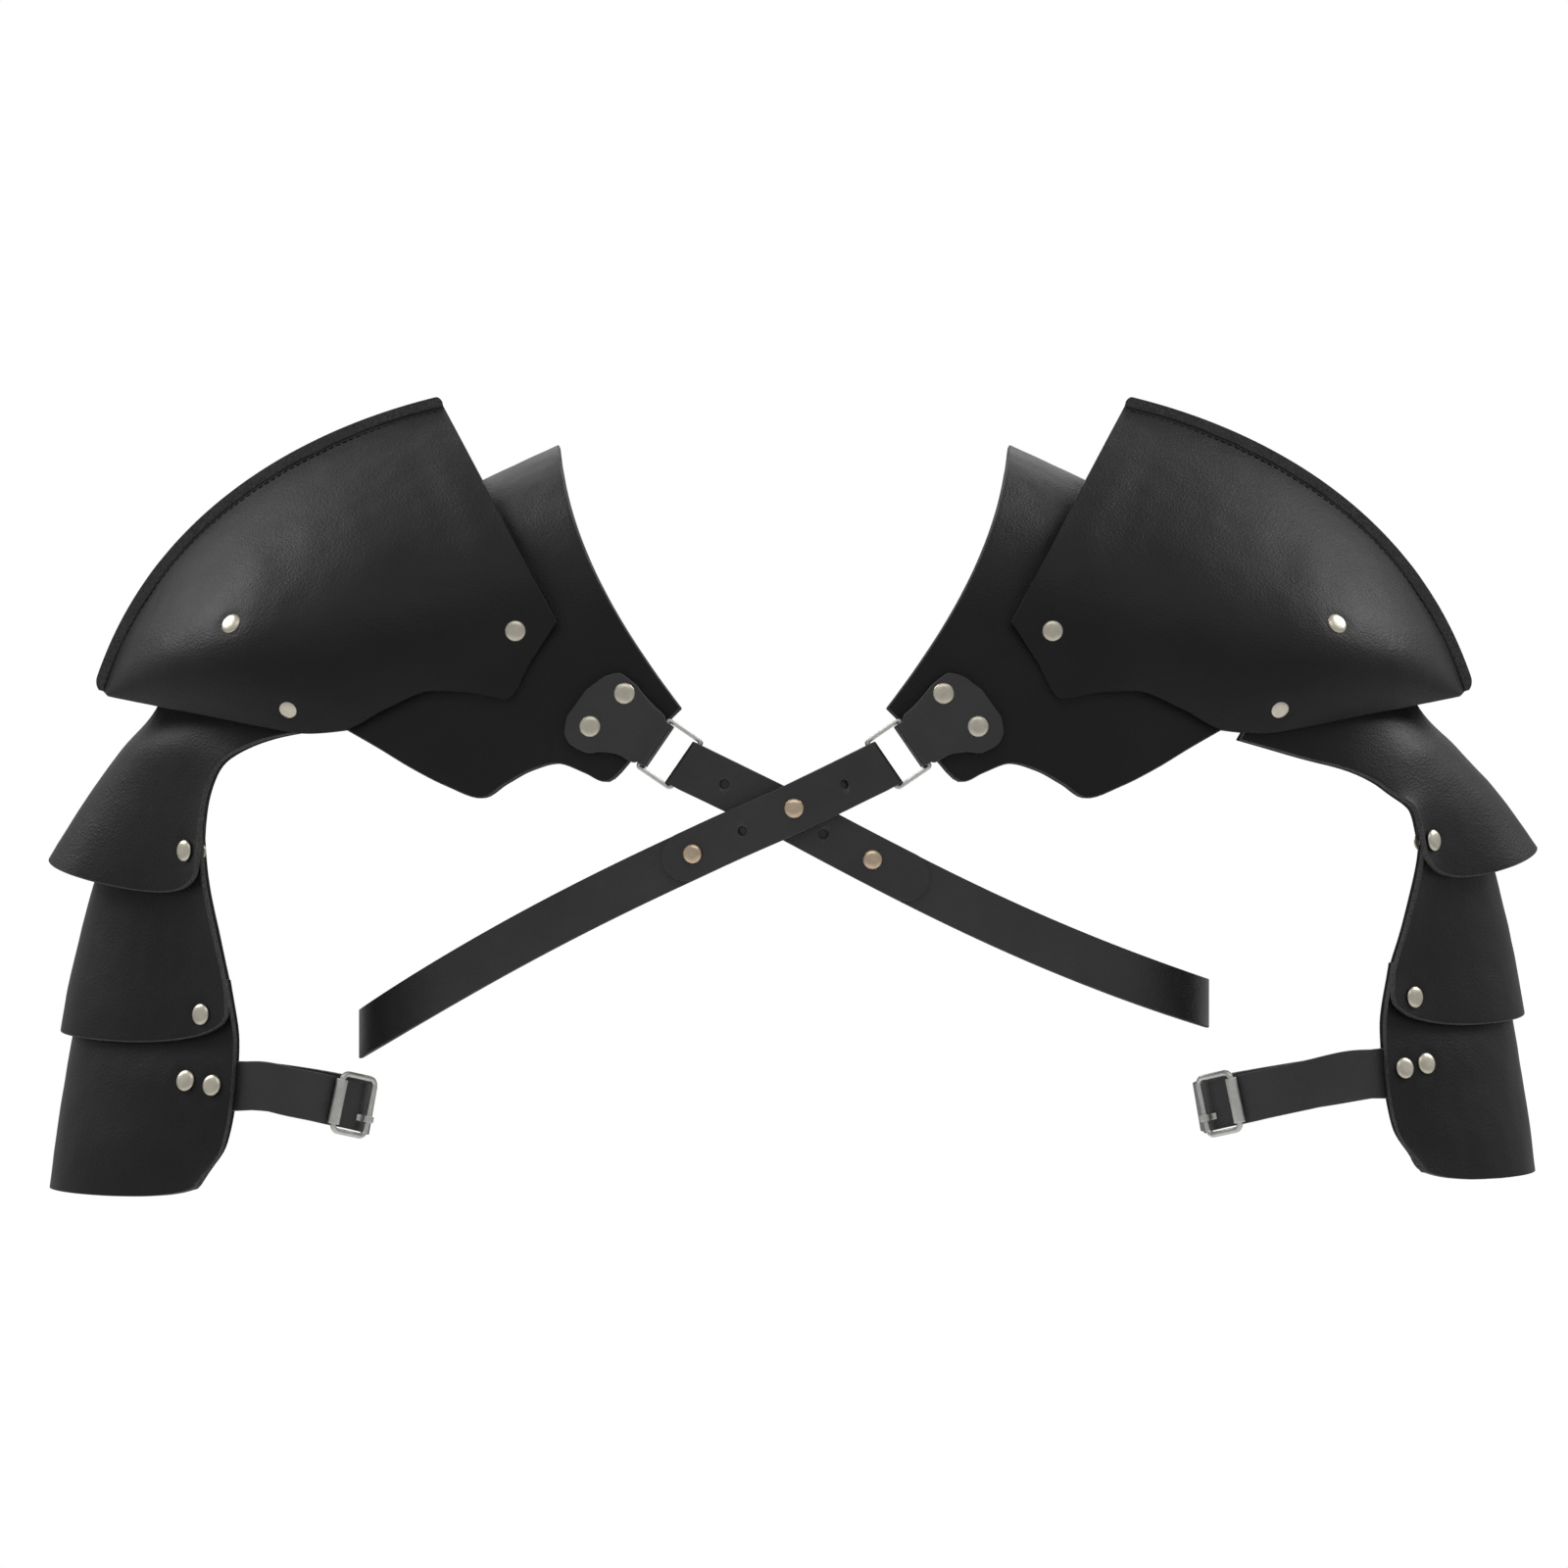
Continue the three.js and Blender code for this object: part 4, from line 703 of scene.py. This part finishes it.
def wire(name, points, normal, radius, side, material):
    """Closed loop of round wire through points."""
    sides = 20
    verts, faces = [], []
    count = len(points)
    for k, point in enumerate(points):
        along = points[(k + 1) % count] - points[k - 1]
        out = along.normalized().cross(normal).normalized()
        for s in range(sides):
            a = 2 * math.pi * s / sides
            verts.append(point + out * (radius * math.cos(a)) + normal * (radius * math.sin(a)))
    for k in range(count):
        n = (k + 1) % count
        for s in range(sides):
            t = (s + 1) % sides
            faces.append((k * sides + s, k * sides + t, n * sides + t, n * sides + s))
    obj = new_object(name, verts, faces, side[1], [material])
    facing_out(obj)
    return obj


def rounded_loop(centre, long, short, length_long, length_short, corner):
    """Rectangle with round corners, with points along its straight runs too."""
    a0, b0 = length_long / 2 - corner, length_short / 2 - corner
    corners = []
    for a, b, start in ((1, 1, 0), (-1, 1, 90), (-1, -1, 180), (1, -1, 270)):
        corners.append([centre + long * (a * a0 + corner * math.cos(math.radians(start + k * 10)))
                        + short * (b * b0 + corner * math.sin(math.radians(start + k * 10)))
                        for k in range(10)])
    points = []
    for k, bend in enumerate(corners):
        points += bend
        following = corners[(k + 1) % 4][0]
        points += [bend[-1].lerp(following, m / 6) for m in range(1, 6)]
    return points


def lathe(name, profile, place, direction, material, segments=48):
    """Revolves radius and height pairs, given in millimetres, about a direction."""
    side = direction.orthogonal().normalized()
    other = direction.cross(side)
    verts, faces = [], []
    for r, h in profile:
        for k in range(segments):
            a = 2 * math.pi * k / segments
            verts.append(place + direction * h + side * (r * math.cos(a))
                         + other * (r * math.sin(a)))
    for j in range(len(profile) - 1):
        for k in range(segments):
            n = (k + 1) % segments
            faces.append((j * segments + k, j * segments + n, (j + 1) * segments + n,
                          (j + 1) * segments + k))
    obj = new_object(name, verts, faces, 1, [material])
    facing_out(obj)
    return obj


# Places of the metal parts, read from the frame

def distinct(coords):
    kept = []
    for place in coords:
        if all(np.linalg.norm(place - other) > 0.01 for other in kept):
            kept.append(place)
    return np.array(kept)


class Seat:
    """Axis of a revolved CAD node, pointing to its head, with the levels along it."""

    def __init__(self, node):
        coords = np.array([v.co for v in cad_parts[node].data.vertices], float) * 1000
        coords = distinct(coords)
        centre = coords.mean(0)
        values, vectors = np.linalg.eigh(np.cov((coords - centre).T))
        apart = [values[2] - values[1], values[2] - values[0], values[1] - values[0]]
        axis = vectors[:, int(np.argmin(apart))]
        heights = (coords - centre) @ axis
        radii = np.linalg.norm(coords - centre - np.outer(heights, axis), axis=1)
        wide = radii > radii.max() - 0.05
        if heights[wide].mean() < 0:
            axis, heights = -axis, -heights
        self.centre = Vector(centre)
        self.axis = Vector(axis)
        self.radius = float(radii.max())
        self.head = float(heights[wide].min())
        self.tail_rim = float(heights[(radii > RIVET_TAIL / 2 - 0.3) & ~wide].max())
        self.tail = float(heights.min())

    def foot(self, sign):
        """Middle of the head's underside, in the frame of the left shoulder."""
        place = self.centre + self.axis * self.head
        return vec(place.x * sign, place.y, place.z)


# Materials

class Shader:
    """A Principled material with the few node kinds that the finishes need."""

    def __init__(self, name, **sockets):
        self.material = bpy.data.materials.new(name)
        self.material.use_nodes = True
        self.tree = self.material.node_tree
        self.base = self.tree.nodes["Principled BSDF"]
        for socket, value in sockets.items():
            self.base.inputs[socket.replace("_", " ")].default_value = value
        self.coords = self.node("ShaderNodeTexCoord").outputs["Object"]
        self.last_bump = None

    def node(self, kind, **values):
        node = self.tree.nodes.new(kind)
        for name, value in values.items():
            setattr(node, name, value)
        return node

    def link(self, a, b):
        self.tree.links.new(a, b)

    def stretched(self, scale):
        node = self.node("ShaderNodeMapping")
        node.inputs["Scale"].default_value = scale
        self.link(self.coords, node.inputs["Vector"])
        return node.outputs["Vector"]

    def noise(self, scale, detail=4, roughness=0.55, distortion=0, vector=None):
        node = self.node("ShaderNodeTexNoise")
        node.inputs["Scale"].default_value = scale
        node.inputs["Detail"].default_value = detail
        node.inputs["Roughness"].default_value = roughness
        node.inputs["Distortion"].default_value = distortion
        self.link(vector or self.coords, node.inputs["Vector"])
        return node.outputs["Fac"]

    def cells(self, scale, smooth):
        node = self.node("ShaderNodeTexVoronoi", feature="SMOOTH_F1")
        node.inputs["Scale"].default_value = scale
        node.inputs["Smoothness"].default_value = smooth
        self.link(self.coords, node.inputs["Vector"])
        return node.outputs["Distance"]

    def ramp(self, fac, stops):
        node = self.node("ShaderNodeValToRGB")
        elements = node.color_ramp.elements
        while len(elements) < len(stops):
            elements.new(0.5)
        for element, (at, colour) in zip(elements, stops):
            element.position = at
            element.color = (*colour, 1)
        self.link(fac, node.inputs["Fac"])
        return node.outputs["Color"]

    def ranged(self, fac, low, high):
        node = self.node("ShaderNodeMapRange")
        node.inputs["From Min"].default_value = 0.3
        node.inputs["From Max"].default_value = 0.7
        node.inputs["To Min"].default_value = low
        node.inputs["To Max"].default_value = high
        self.link(fac, node.inputs["Value"])
        return node.outputs["Result"]

    def bump(self, height, strength, distance):
        node = self.node("ShaderNodeBump")
        node.inputs["Strength"].default_value = strength
        node.inputs["Distance"].default_value = distance
        self.link(height, node.inputs["Height"])
        if self.last_bump:
            self.link(self.last_bump, node.inputs["Normal"])
        self.last_bump = node.outputs["Normal"]

    def done(self, colour=None, roughness=None):
        if colour:
            self.link(colour, self.base.inputs["Base Color"])
        if roughness:
            self.link(roughness, self.base.inputs["Roughness"])
        if self.last_bump:
            self.link(self.last_bump, self.base.inputs["Normal"])
        return self.material


def leather(name, dark, light, grain, gloss, level):
    """Finished side: pebble grain, pores, soft creases and a patchy polish."""
    s = Shader(name, Specular_IOR_Level=level)
    patches = s.noise(22, detail=5, roughness=0.6)
    pores = s.noise(grain * 1.9, detail=2, roughness=0.5)
    pebbles = s.cells(grain, 0.5)
    s.bump(s.noise(75, detail=5, roughness=0.6, distortion=0.4), 0.25, 0.0008)
    s.bump(pebbles, 0.5, 0.00022)
    s.bump(pores, 0.35, 0.00010)
    colour = s.ramp(patches, [(0.3, dark), (0.7, light)])
    return s.done(colour, s.ranged(patches, gloss[0], gloss[1]))


def cut_edge(name, dark, light):
    """Cut edge of the leather: paler packed fibres, made lighter still as a painted highlight of
    the edge catching the light from above, burnished here and there.
    """
    s = Shader(name, Specular_IOR_Level=0.3)
    fibres = s.noise(1400, detail=3, roughness=0.7)
    patches = s.noise(120, detail=3)
    s.bump(fibres, 0.6, 0.00018)
    colour = s.ramp(fibres, [(0.3, dark), (0.72, light)])
    return s.done(colour, s.ranged(patches, 0.5, 0.85))


def flesh_side(name, dark, light):
    s = Shader(name, Specular_IOR_Level=0.15)
    nap = s.noise(900, detail=5, roughness=0.75)
    s.bump(nap, 0.7, 0.0003)
    colour = s.ramp(s.noise(160, detail=6, roughness=0.7), [(0.3, dark), (0.7, light)])
    return s.done(colour, s.ranged(nap, 0.8, 0.98))


def metal(name, dark, light, gloss):
    """Plated metal with a faint cast skin, hairline scratches and duller patches."""
    s = Shader(name, Metallic=1.0)
    patches = s.noise(260, detail=4, roughness=0.6)
    scratches = s.noise(500, detail=2, vector=s.stretched((1, 6, 14)))
    s.bump(patches, 0.03, 0.00005)
    s.bump(scratches, 0.03, 0.00002)
    colour = s.ramp(patches, [(0.3, dark), (0.7, light)])
    return s.done(colour, s.ranged(scratches, gloss[0], gloss[1]))


def thread_yarn(name):
    s = Shader(name, Specular_IOR_Level=0.25)
    twist = s.noise(2600, detail=3, roughness=0.6)
    s.bump(twist, 0.6, 0.00015)
    colour = s.ramp(twist, [(0.3, (0.006, 0.006, 0.007)), (0.7, (0.022, 0.022, 0.024))])
    return s.done(colour, s.ranged(twist, 0.6, 0.85))


def floor_paint():
    s = Shader("floor_paint", Roughness=0.9, Specular_IOR_Level=0.1)
    colour = s.ramp(s.noise(0.8, detail=2), [(0.3, (0.83, 0.83, 0.83)), (0.7, (0.86, 0.86, 0.86))])
    return s.done(colour)


armour = leather("armour_leather", (0.0085, 0.0085, 0.009), (0.0125, 0.0122, 0.0128), 1050,
                 (0.40, 0.50), 0.22)
strap = leather("strap_leather", (0.024, 0.0235, 0.0245), (0.036, 0.0355, 0.037), 1500,
                (0.26, 0.42), 0.50)
# Pale edge colours: partly raw fibres, partly a painted highlight of edges catching the light from
# above.
armour_edge = cut_edge("armour_cut_edge", (0.018, 0.018, 0.019), (0.095, 0.093, 0.090))
strap_edge = cut_edge("strap_cut_edge", (0.03, 0.03, 0.031), (0.10, 0.098, 0.095))
armour_flesh = flesh_side("armour_flesh", (0.018, 0.017, 0.017), (0.042, 0.04, 0.038))
chrome = metal("chrome", (0.56, 0.56, 0.54), (0.70, 0.70, 0.67), (0.36, 0.50))
nickel = metal("nickel", (0.60, 0.56, 0.46), (0.72, 0.68, 0.57), (0.30, 0.44))
brass = metal("stud_brass", (0.60, 0.46, 0.33), (0.74, 0.59, 0.44), (0.22, 0.34))
thread = thread_yarn("thread")

PLATE_SKIN = [armour, armour_edge, armour_flesh]
STRAP_SKIN = [strap, strap_edge]


# Plates

STITCH_PITCH = 3.0
STITCH_LENGTH = 2.3
STITCH_RADIUS = 0.42
SEAM_STEPS = [-1, -0.9, -0.7, -0.45, -0.22, -0.08]


def fine_grid(surface, us, vs):
    return [[surface(u, v) for u in us] for v in vs]


def yoke_rows():
    half = [s * s for s in spaced(0, 1, 68)]
    return [-t for t in half[:0:-1]] + half


def cap_columns():
    end = [SEAM_END * k / 6 for k in range(6)]
    return end + spaced(SEAM_END, 1 - SEAM_END, 88) + [1 - u for u in end[::-1]]


def cap_rows():
    lower = [mix(s * s, s, 0.45) for s in spaced(0, 1, 64)]
    return SEAM_STEPS + lower[:1] + [0.004] + lower[1:]


def stitches(name, line, side):
    """Thread stitches along a line of points and outward directions, sunk halfway in."""
    verts, faces = [], []
    around = 10
    profile = [(-0.5, 0.15), (-0.46, 0.6), (-0.34, 0.95), (-0.12, 1.0), (0.12, 1.0),
               (0.34, 0.95), (0.46, 0.6), (0.5, 0.15)]
    travelled, due = 0.0, STITCH_PITCH
    for (a, up_a), (b, up_b) in zip(line, line[1:]):
        step = (b - a).length
        while travelled + step >= due:
            share = (due - travelled) / step
            place = a.lerp(b, share)
            up = up_a.lerp(up_b, share).normalized()
            along = (b - a).normalized()
            across = along.cross(up).normalized()
            base = len(verts)
            for at, wide in profile:
                sag = STITCH_RADIUS * (0.35 - 2.6 * at * at)
                for k in range(around):
                    angle = 2 * math.pi * k / around
                    verts.append(place + along * (at * STITCH_LENGTH) + up * sag
                                 + across * (STITCH_RADIUS * wide * math.cos(angle))
                                 + up * (STITCH_RADIUS * wide * math.sin(angle)))
            for j in range(len(profile) - 1):
                for k in range(around):
                    n = (k + 1) % around
                    faces.append((base + j * around + k, base + j * around + n,
                                  base + (j + 1) * around + n, base + (j + 1) * around + k))
            last = base + (len(profile) - 1) * around
            faces.append(tuple(range(base, base + around))[::-1])
            faces.append(tuple(range(last, last + around)))
            due += STITCH_PITCH
        travelled += step
    obj = new_object(name, verts, faces, side[1], [thread])
    facing_out(obj)
    return obj


def seam_line(facing):
    """Stitch line in the valley below the turned-up seam."""
    line = []
    for u in spaced(0.012, 0.988, 220):
        a = cap_point(u, 0.0, facing)
        b = cap_point(u, 0.022, facing)
        ahead = cap_point(min(1, u + 0.01), 0.011, facing) - cap_point(u - 0.01, 0.011, facing)
        up = ahead.cross(b - a).normalized()
        if up.y * facing < 0:
            up.negate()
        line.append((cap_point(u, 0.013, facing), up))
    return line


def build_plates(side, seats):
    name, sign = side[0], side[1]

    def dents(*names):
        return [(seats[n].foot(sign), DENT_RADIUS, DENT_DEPTH) for n in names]

    grids = {
        "yoke": (fine_grid(yoke_point, spaced(0, 1, 62), yoke_rows()), 1, []),
        "cap_front": (fine_grid(lambda u, t: cap_point(u, t, -1), cap_columns(), cap_rows()),
                      -1, dents("rivet_cap_yoke_front", "rivet_cap_middle",
                                "rivet_cap_low_front")),
        "cap_rear": (fine_grid(lambda u, t: cap_point(u, t, 1), cap_columns(), cap_rows()),
                     1, dents("rivet_cap_yoke_rear", "rivet_cap_low_rear")),
    }
    held = {"lame_1": ("rivet_lame_1_front", "rivet_lame_1_rear"),
            "lame_2": ("rivet_lame_2_front", "rivet_lame_2_rear"),
            "lame_3": ("rivet_lame_3_inner", "rivet_lame_3_outer", "rivet_lame_3_rear")}
    for lame, rows in LAMES.items():
        grid = fine_grid(lambda u, v: lame_point(rows, side, u, v), spaced(0, 2, 104),
                         spaced(0, 1, 34))
        grids[lame] = (grid, -1, dents(*held[lame]))
    for piece, (grid, outward, pressed) in grids.items():
        # The cap's seam strip is drawn pale: partly raw fibres, partly a painted highlight on its
        # upward-facing face.
        raw_and_lit_rows = len(SEAM_STEPS) if piece.startswith("cap") else 0
        obj = plate(f"{name}_{piece}_leather", grid, side, outward, pressed, PLATE_SKIN, raw_and_lit_rows)
        settle(obj, f"{name}_{piece}")
    for panel, facing in (("front", -1), ("rear", 1)):
        obj = stitches(f"{name}_cap_{panel}_stitches", seam_line(facing), side)
        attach(obj, "root")


# Straps, tab and metal

def applied(obj):
    """Turns an object's modifiers into its mesh."""
    evaluated = obj.evaluated_get(bpy.context.evaluated_depsgraph_get())
    mesh = bpy.data.meshes.new_from_object(evaluated)
    obj.modifiers.clear()
    obj.data = mesh


def chest_seat(side, s):
    place, along, up, _ = ROUTES[side[0]].frame(s)
    height = chest_lift(side, s) + 2 * STRAP + fold_gap(s)
    climb = (chest_lift(side, s + 1) - chest_lift(side, s - 1)) / 2
    return place + up * height, (up - along * climb).normalized()


def punch(obj, place, direction, radius, side, material):
    """A punched hole through the upper layer of a strap, with an eased mouth."""
    deep = STRAP + STRAP_LAYER_GAP * 0.5
    place = vec(place.x * side[1], place.y, place.z)
    direction = vec(direction.x * side[1], direction.y, direction.z)
    profile = [(0.001, 1.0), (radius + 0.75, 1.0), (radius + 0.4, 0.12), (radius + 0.12, -0.12),
               (radius, -0.45), (radius, -deep), (0.001, -deep)]
    cutter = lathe("cutter", profile, place, direction, material, 36)
    cut = obj.modifiers.new("hole", "BOOLEAN")
    cut.operation = "DIFFERENCE"
    cut.solver = "EXACT"
    cut.object = cutter
    applied(obj)
    bpy.data.objects.remove(cutter)


def build_straps(side, seats):
    name, sign = side[0], side[1]
    chest = sweep(f"{name}_chest_strap_leather", chest_stations(side), STRAP, side, STRAP_SKIN)
    for hole in FREE_HOLES:
        place, direction = chest_seat(side, CHEST_FIRST_HOLE + hole * CHEST_HOLE_PITCH)
        punch(chest, place, direction, HOLE_RADIUS, side, strap_edge)
    settle(chest, f"{name}_chest_strap")

    dents = [(seats[n].foot(sign), TAB_DENT_RADIUS, TAB_DENT_DEPTH)
             for n in ("rivet_tab_1", "rivet_tab_2")]
    tab = sweep(f"{name}_ring_tab_leather", tab_stations(TAB_OUTLINE, 0, 26), STRAP, side,
                STRAP_SKIN, dents=dents, wide=15)
    settle(tab, f"{name}_ring_tab")
    rear = [(vec(c.x, -c.y, c.z), vec(a.x, -a.y, a.z), vec(u.x, -u.y, u.z), h)
            for c, a, u, h in tab_stations(REAR_TAB_OUTLINE, 0.9, 20)]
    obj = sweep(f"{name}_rear_tab_leather", rear, STRAP, side, STRAP_SKIN, wide=9)
    settle(obj, f"{name}_yoke")

    stops, curve = arm_strap_path(side)
    stations = []
    for t in spaced(0, len(stops) - 1, 150):
        centre, _, up, across = arm_strap_frame(stops, curve, t)
        stations.append((centre, across, up, STRAP_WIDTH / 2))
    arm = sweep(f"{name}_arm_strap_leather", stations, STRAP, side, STRAP_SKIN)
    settle(arm, f"{name}_arm_strap")
    build_buckle(side, arm_strap_frame(stops, curve, len(ARM_STRAP_UNDER_FRONT) + BUCKLE_ROW))


def build_buckle(side, frame_at):
    name = side[0]
    foot, along, up, across = frame_at
    height = STRAP / 2 + GAP + ROLLER_DIAMETER / 2
    centre = foot + up * height
    corner = BUCKLE_CORNER - BUCKLE_WIRE / 2
    loop = rounded_loop(centre, across, along, BUCKLE_HEIGHT - BUCKLE_WIRE,
                        BUCKLE_LENGTH - BUCKLE_WIRE, corner)
    obj = wire(f"{name}_buckle_frame_metal", loop, up, BUCKLE_WIRE / 2, side, chrome)
    settle(obj, f"{name}_buckle_frame")

    bar_offset = (BUCKLE_LENGTH - BUCKLE_WIRE) / 2
    half, outer, bore = ROLLER_LENGTH / 2, ROLLER_DIAMETER / 2, BUCKLE_WIRE / 2 + 0.25
    profile = [(bore, -half), (bore + 0.2, -half - 0.05), (outer - 0.25, -half),
               (outer - 0.06, -half + 0.1), (outer, -half + 0.4), (outer, half - 0.4),
               (outer - 0.06, half - 0.1), (outer - 0.25, half), (bore + 0.2, half + 0.05),
               (bore, half), (bore, 0), (bore, -half)]
    place = centre - along * bar_offset
    place = vec(place.x * side[1], place.y, place.z)
    direction = vec(across.x * side[1], across.y, across.z)
    obj = lathe(f"{name}_buckle_roller_metal", profile, place, direction, chrome)
    settle(obj, f"{name}_buckle_roller")

    bar = centre + along * bar_offset + across * PRONG_OFFSET
    curl = BUCKLE_WIRE / 2 + 0.35 + PRONG_THICKNESS / 2
    steps = [(curl * math.cos(math.radians(a)), curl * math.sin(math.radians(a)))
             for a in spaced(210, -105, 21)]
    below = -(height + STRAP / 2 + GAP + PRONG_THICKNESS / 2)
    steps += [(-curl - 0.9, -curl - 0.6), (-curl - 1.7, below + 1.2), (-curl - 3.4, below),
              (-curl - PRONG_REACH, below)]

    def at(s, h):
        return bar + along * s + up * h, along, up, across

    stations = stations_along(steps, at, lambda s, k: PRONG_WIDTH / 2)
    obj = sweep(f"{name}_buckle_prong_metal", stations, PRONG_THICKNESS, side,
                [chrome, chrome], edge=0.25)
    settle(obj, f"{name}_buckle_prong")


def build_rings(side):
    name = side[0]
    strap_bar, tab_bar, _, _, short, long = ring_bars()
    corner = RING_CORNER - RING_WIRE / 2
    for node, turn in (("ring", 1), ("rear_ring", -1)):
        flip = lambda v: vec(v.x, v.y * turn, v.z)
        loop = rounded_loop(flip((tab_bar + strap_bar) / 2), flip(long), flip(short),
                            RING_LONG - RING_WIRE, RING_SHORT - RING_WIRE, corner)
        normal = flip(long.cross(short)).normalized()
        obj = wire(f"{name}_{node}_metal", loop, normal, RING_WIRE / 2, side, chrome)
        settle(obj, f"{name}_{node}")


def build_rivet(node, seat, skin, dome):
    """Domed head pressed a little into the leather, shank, and tubular tail behind."""
    r, low = seat.radius, seat.tail
    foot = seat.head - RIVET_SUNK
    tail = RIVET_TAIL / 2
    profile = [(0.001, low + 0.75), (0.9, low + 0.7), (1.25, low + 0.1), (1.7, low),
               (2.6, low + 0.12), (tail - 0.25, low + 0.45), (tail, low + 0.85),
               (tail - 0.1, seat.tail_rim + 0.2), (1.4, seat.tail_rim + 0.2), (1.4, foot),
               (r - 0.5, foot), (r - 0.12, foot + 0.14), (r, foot + 0.5)]
    edge_height = foot + 0.5
    for k in range(1, 13):
        a = math.radians(90 * k / 12)
        profile.append((max(0.001, r * math.cos(a) ** 0.55),
                        edge_height + dome * math.sin(a) ** 1.15))
    obj = lathe(f"{node}_metal", profile, seat.centre, seat.axis, skin)
    settle(obj, node)


# Assembly

for side in SIDES:
    prefix = side[0] + "_"
    seats = {n[len(prefix):]: Seat(n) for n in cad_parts
             if n.startswith(prefix) and ("rivet" in n or "stud" in n)}
    build_plates(side, seats)
    build_straps(side, seats)
    build_rings(side)
    for rivet, seat in seats.items():
        stud = "stud" in rivet
        build_rivet(prefix + rivet, seat, brass if stud else nickel,
                    STUD_DOME if stud else RIVET_DOME)


# Floor, light and camera

FLOOR_LEVEL = -1.45
FLOOR_RADIUS = 14
CAMERA_DISTANCE = 18
VIEW_WIDTH = 0.64
VIEW_LEVEL = -0.12
VIEW_PLANE = -0.02

floor_rings = [(0.001, 0), (2, 0), (6, 0), (FLOOR_RADIUS, 0)]
floor = lathe("floor", [(r * 1000, h) for r, h in floor_rings], vec(0, 0, FLOOR_LEVEL * 1000),
              vec(0, 0, 1), floor_paint(), 96)


def softbox(name, place, target, width, height, power):
    data = bpy.data.lights.new(name, "AREA")
    data.shape = "RECTANGLE"
    data.size, data.size_y = width, height
    data.energy = power
    light = bpy.data.objects.new(name, data)
    light.location = place
    light.rotation_euler = (Vector(target) - Vector(place)).to_track_quat("-Z", "Y").to_euler()
    light.visible_camera = False
    bpy.context.collection.objects.link(light)


softbox("key", (0, -2.2, 2.4), (0, 0, -0.1), 3.2, 1.6, 16)
softbox("left_box", (-2.3, 0.8, 1.9), (-0.2, 0, -0.1), 1.3, 1.8, 44)
softbox("right_box", (2.3, 0.8, 1.9), (0.2, 0, -0.1), 1.3, 1.8, 44)
softbox("back_box", (0, 2.8, 1.6), (0, 0, -0.1), 2.6, 1.6, 18)

world = bpy.data.worlds.new("studio")
bpy.context.scene.world = world
world.use_nodes = True
tree = world.node_tree
seen = tree.nodes["Background"]
seen.inputs["Color"].default_value = (1, 1, 1, 1)
seen.inputs["Strength"].default_value = 1.0
room = tree.nodes.new("ShaderNodeBackground")
room.inputs["Color"].default_value = (1, 1, 1, 1)
room.inputs["Strength"].default_value = 0.44
path = tree.nodes.new("ShaderNodeLightPath")
blend = tree.nodes.new("ShaderNodeMixShader")
tree.links.new(path.outputs["Is Camera Ray"], blend.inputs["Fac"])
tree.links.new(room.outputs["Background"], blend.inputs[1])
tree.links.new(seen.outputs["Background"], blend.inputs[2])
tree.links.new(blend.outputs["Shader"], tree.nodes["World Output"].inputs["Surface"])

camera_data = bpy.data.cameras.new("camera")
camera_data.sensor_width = 36
camera_data.lens = 36 * CAMERA_DISTANCE / VIEW_WIDTH
camera_data.clip_end = 100
camera = bpy.data.objects.new("camera", camera_data)
camera.location = (0, VIEW_PLANE - CAMERA_DISTANCE, VIEW_LEVEL)
camera.rotation_euler = (math.radians(90), 0, 0)
bpy.context.collection.objects.link(camera)
bpy.context.scene.camera = camera
bpy.context.scene.view_settings.view_transform = "Standard"
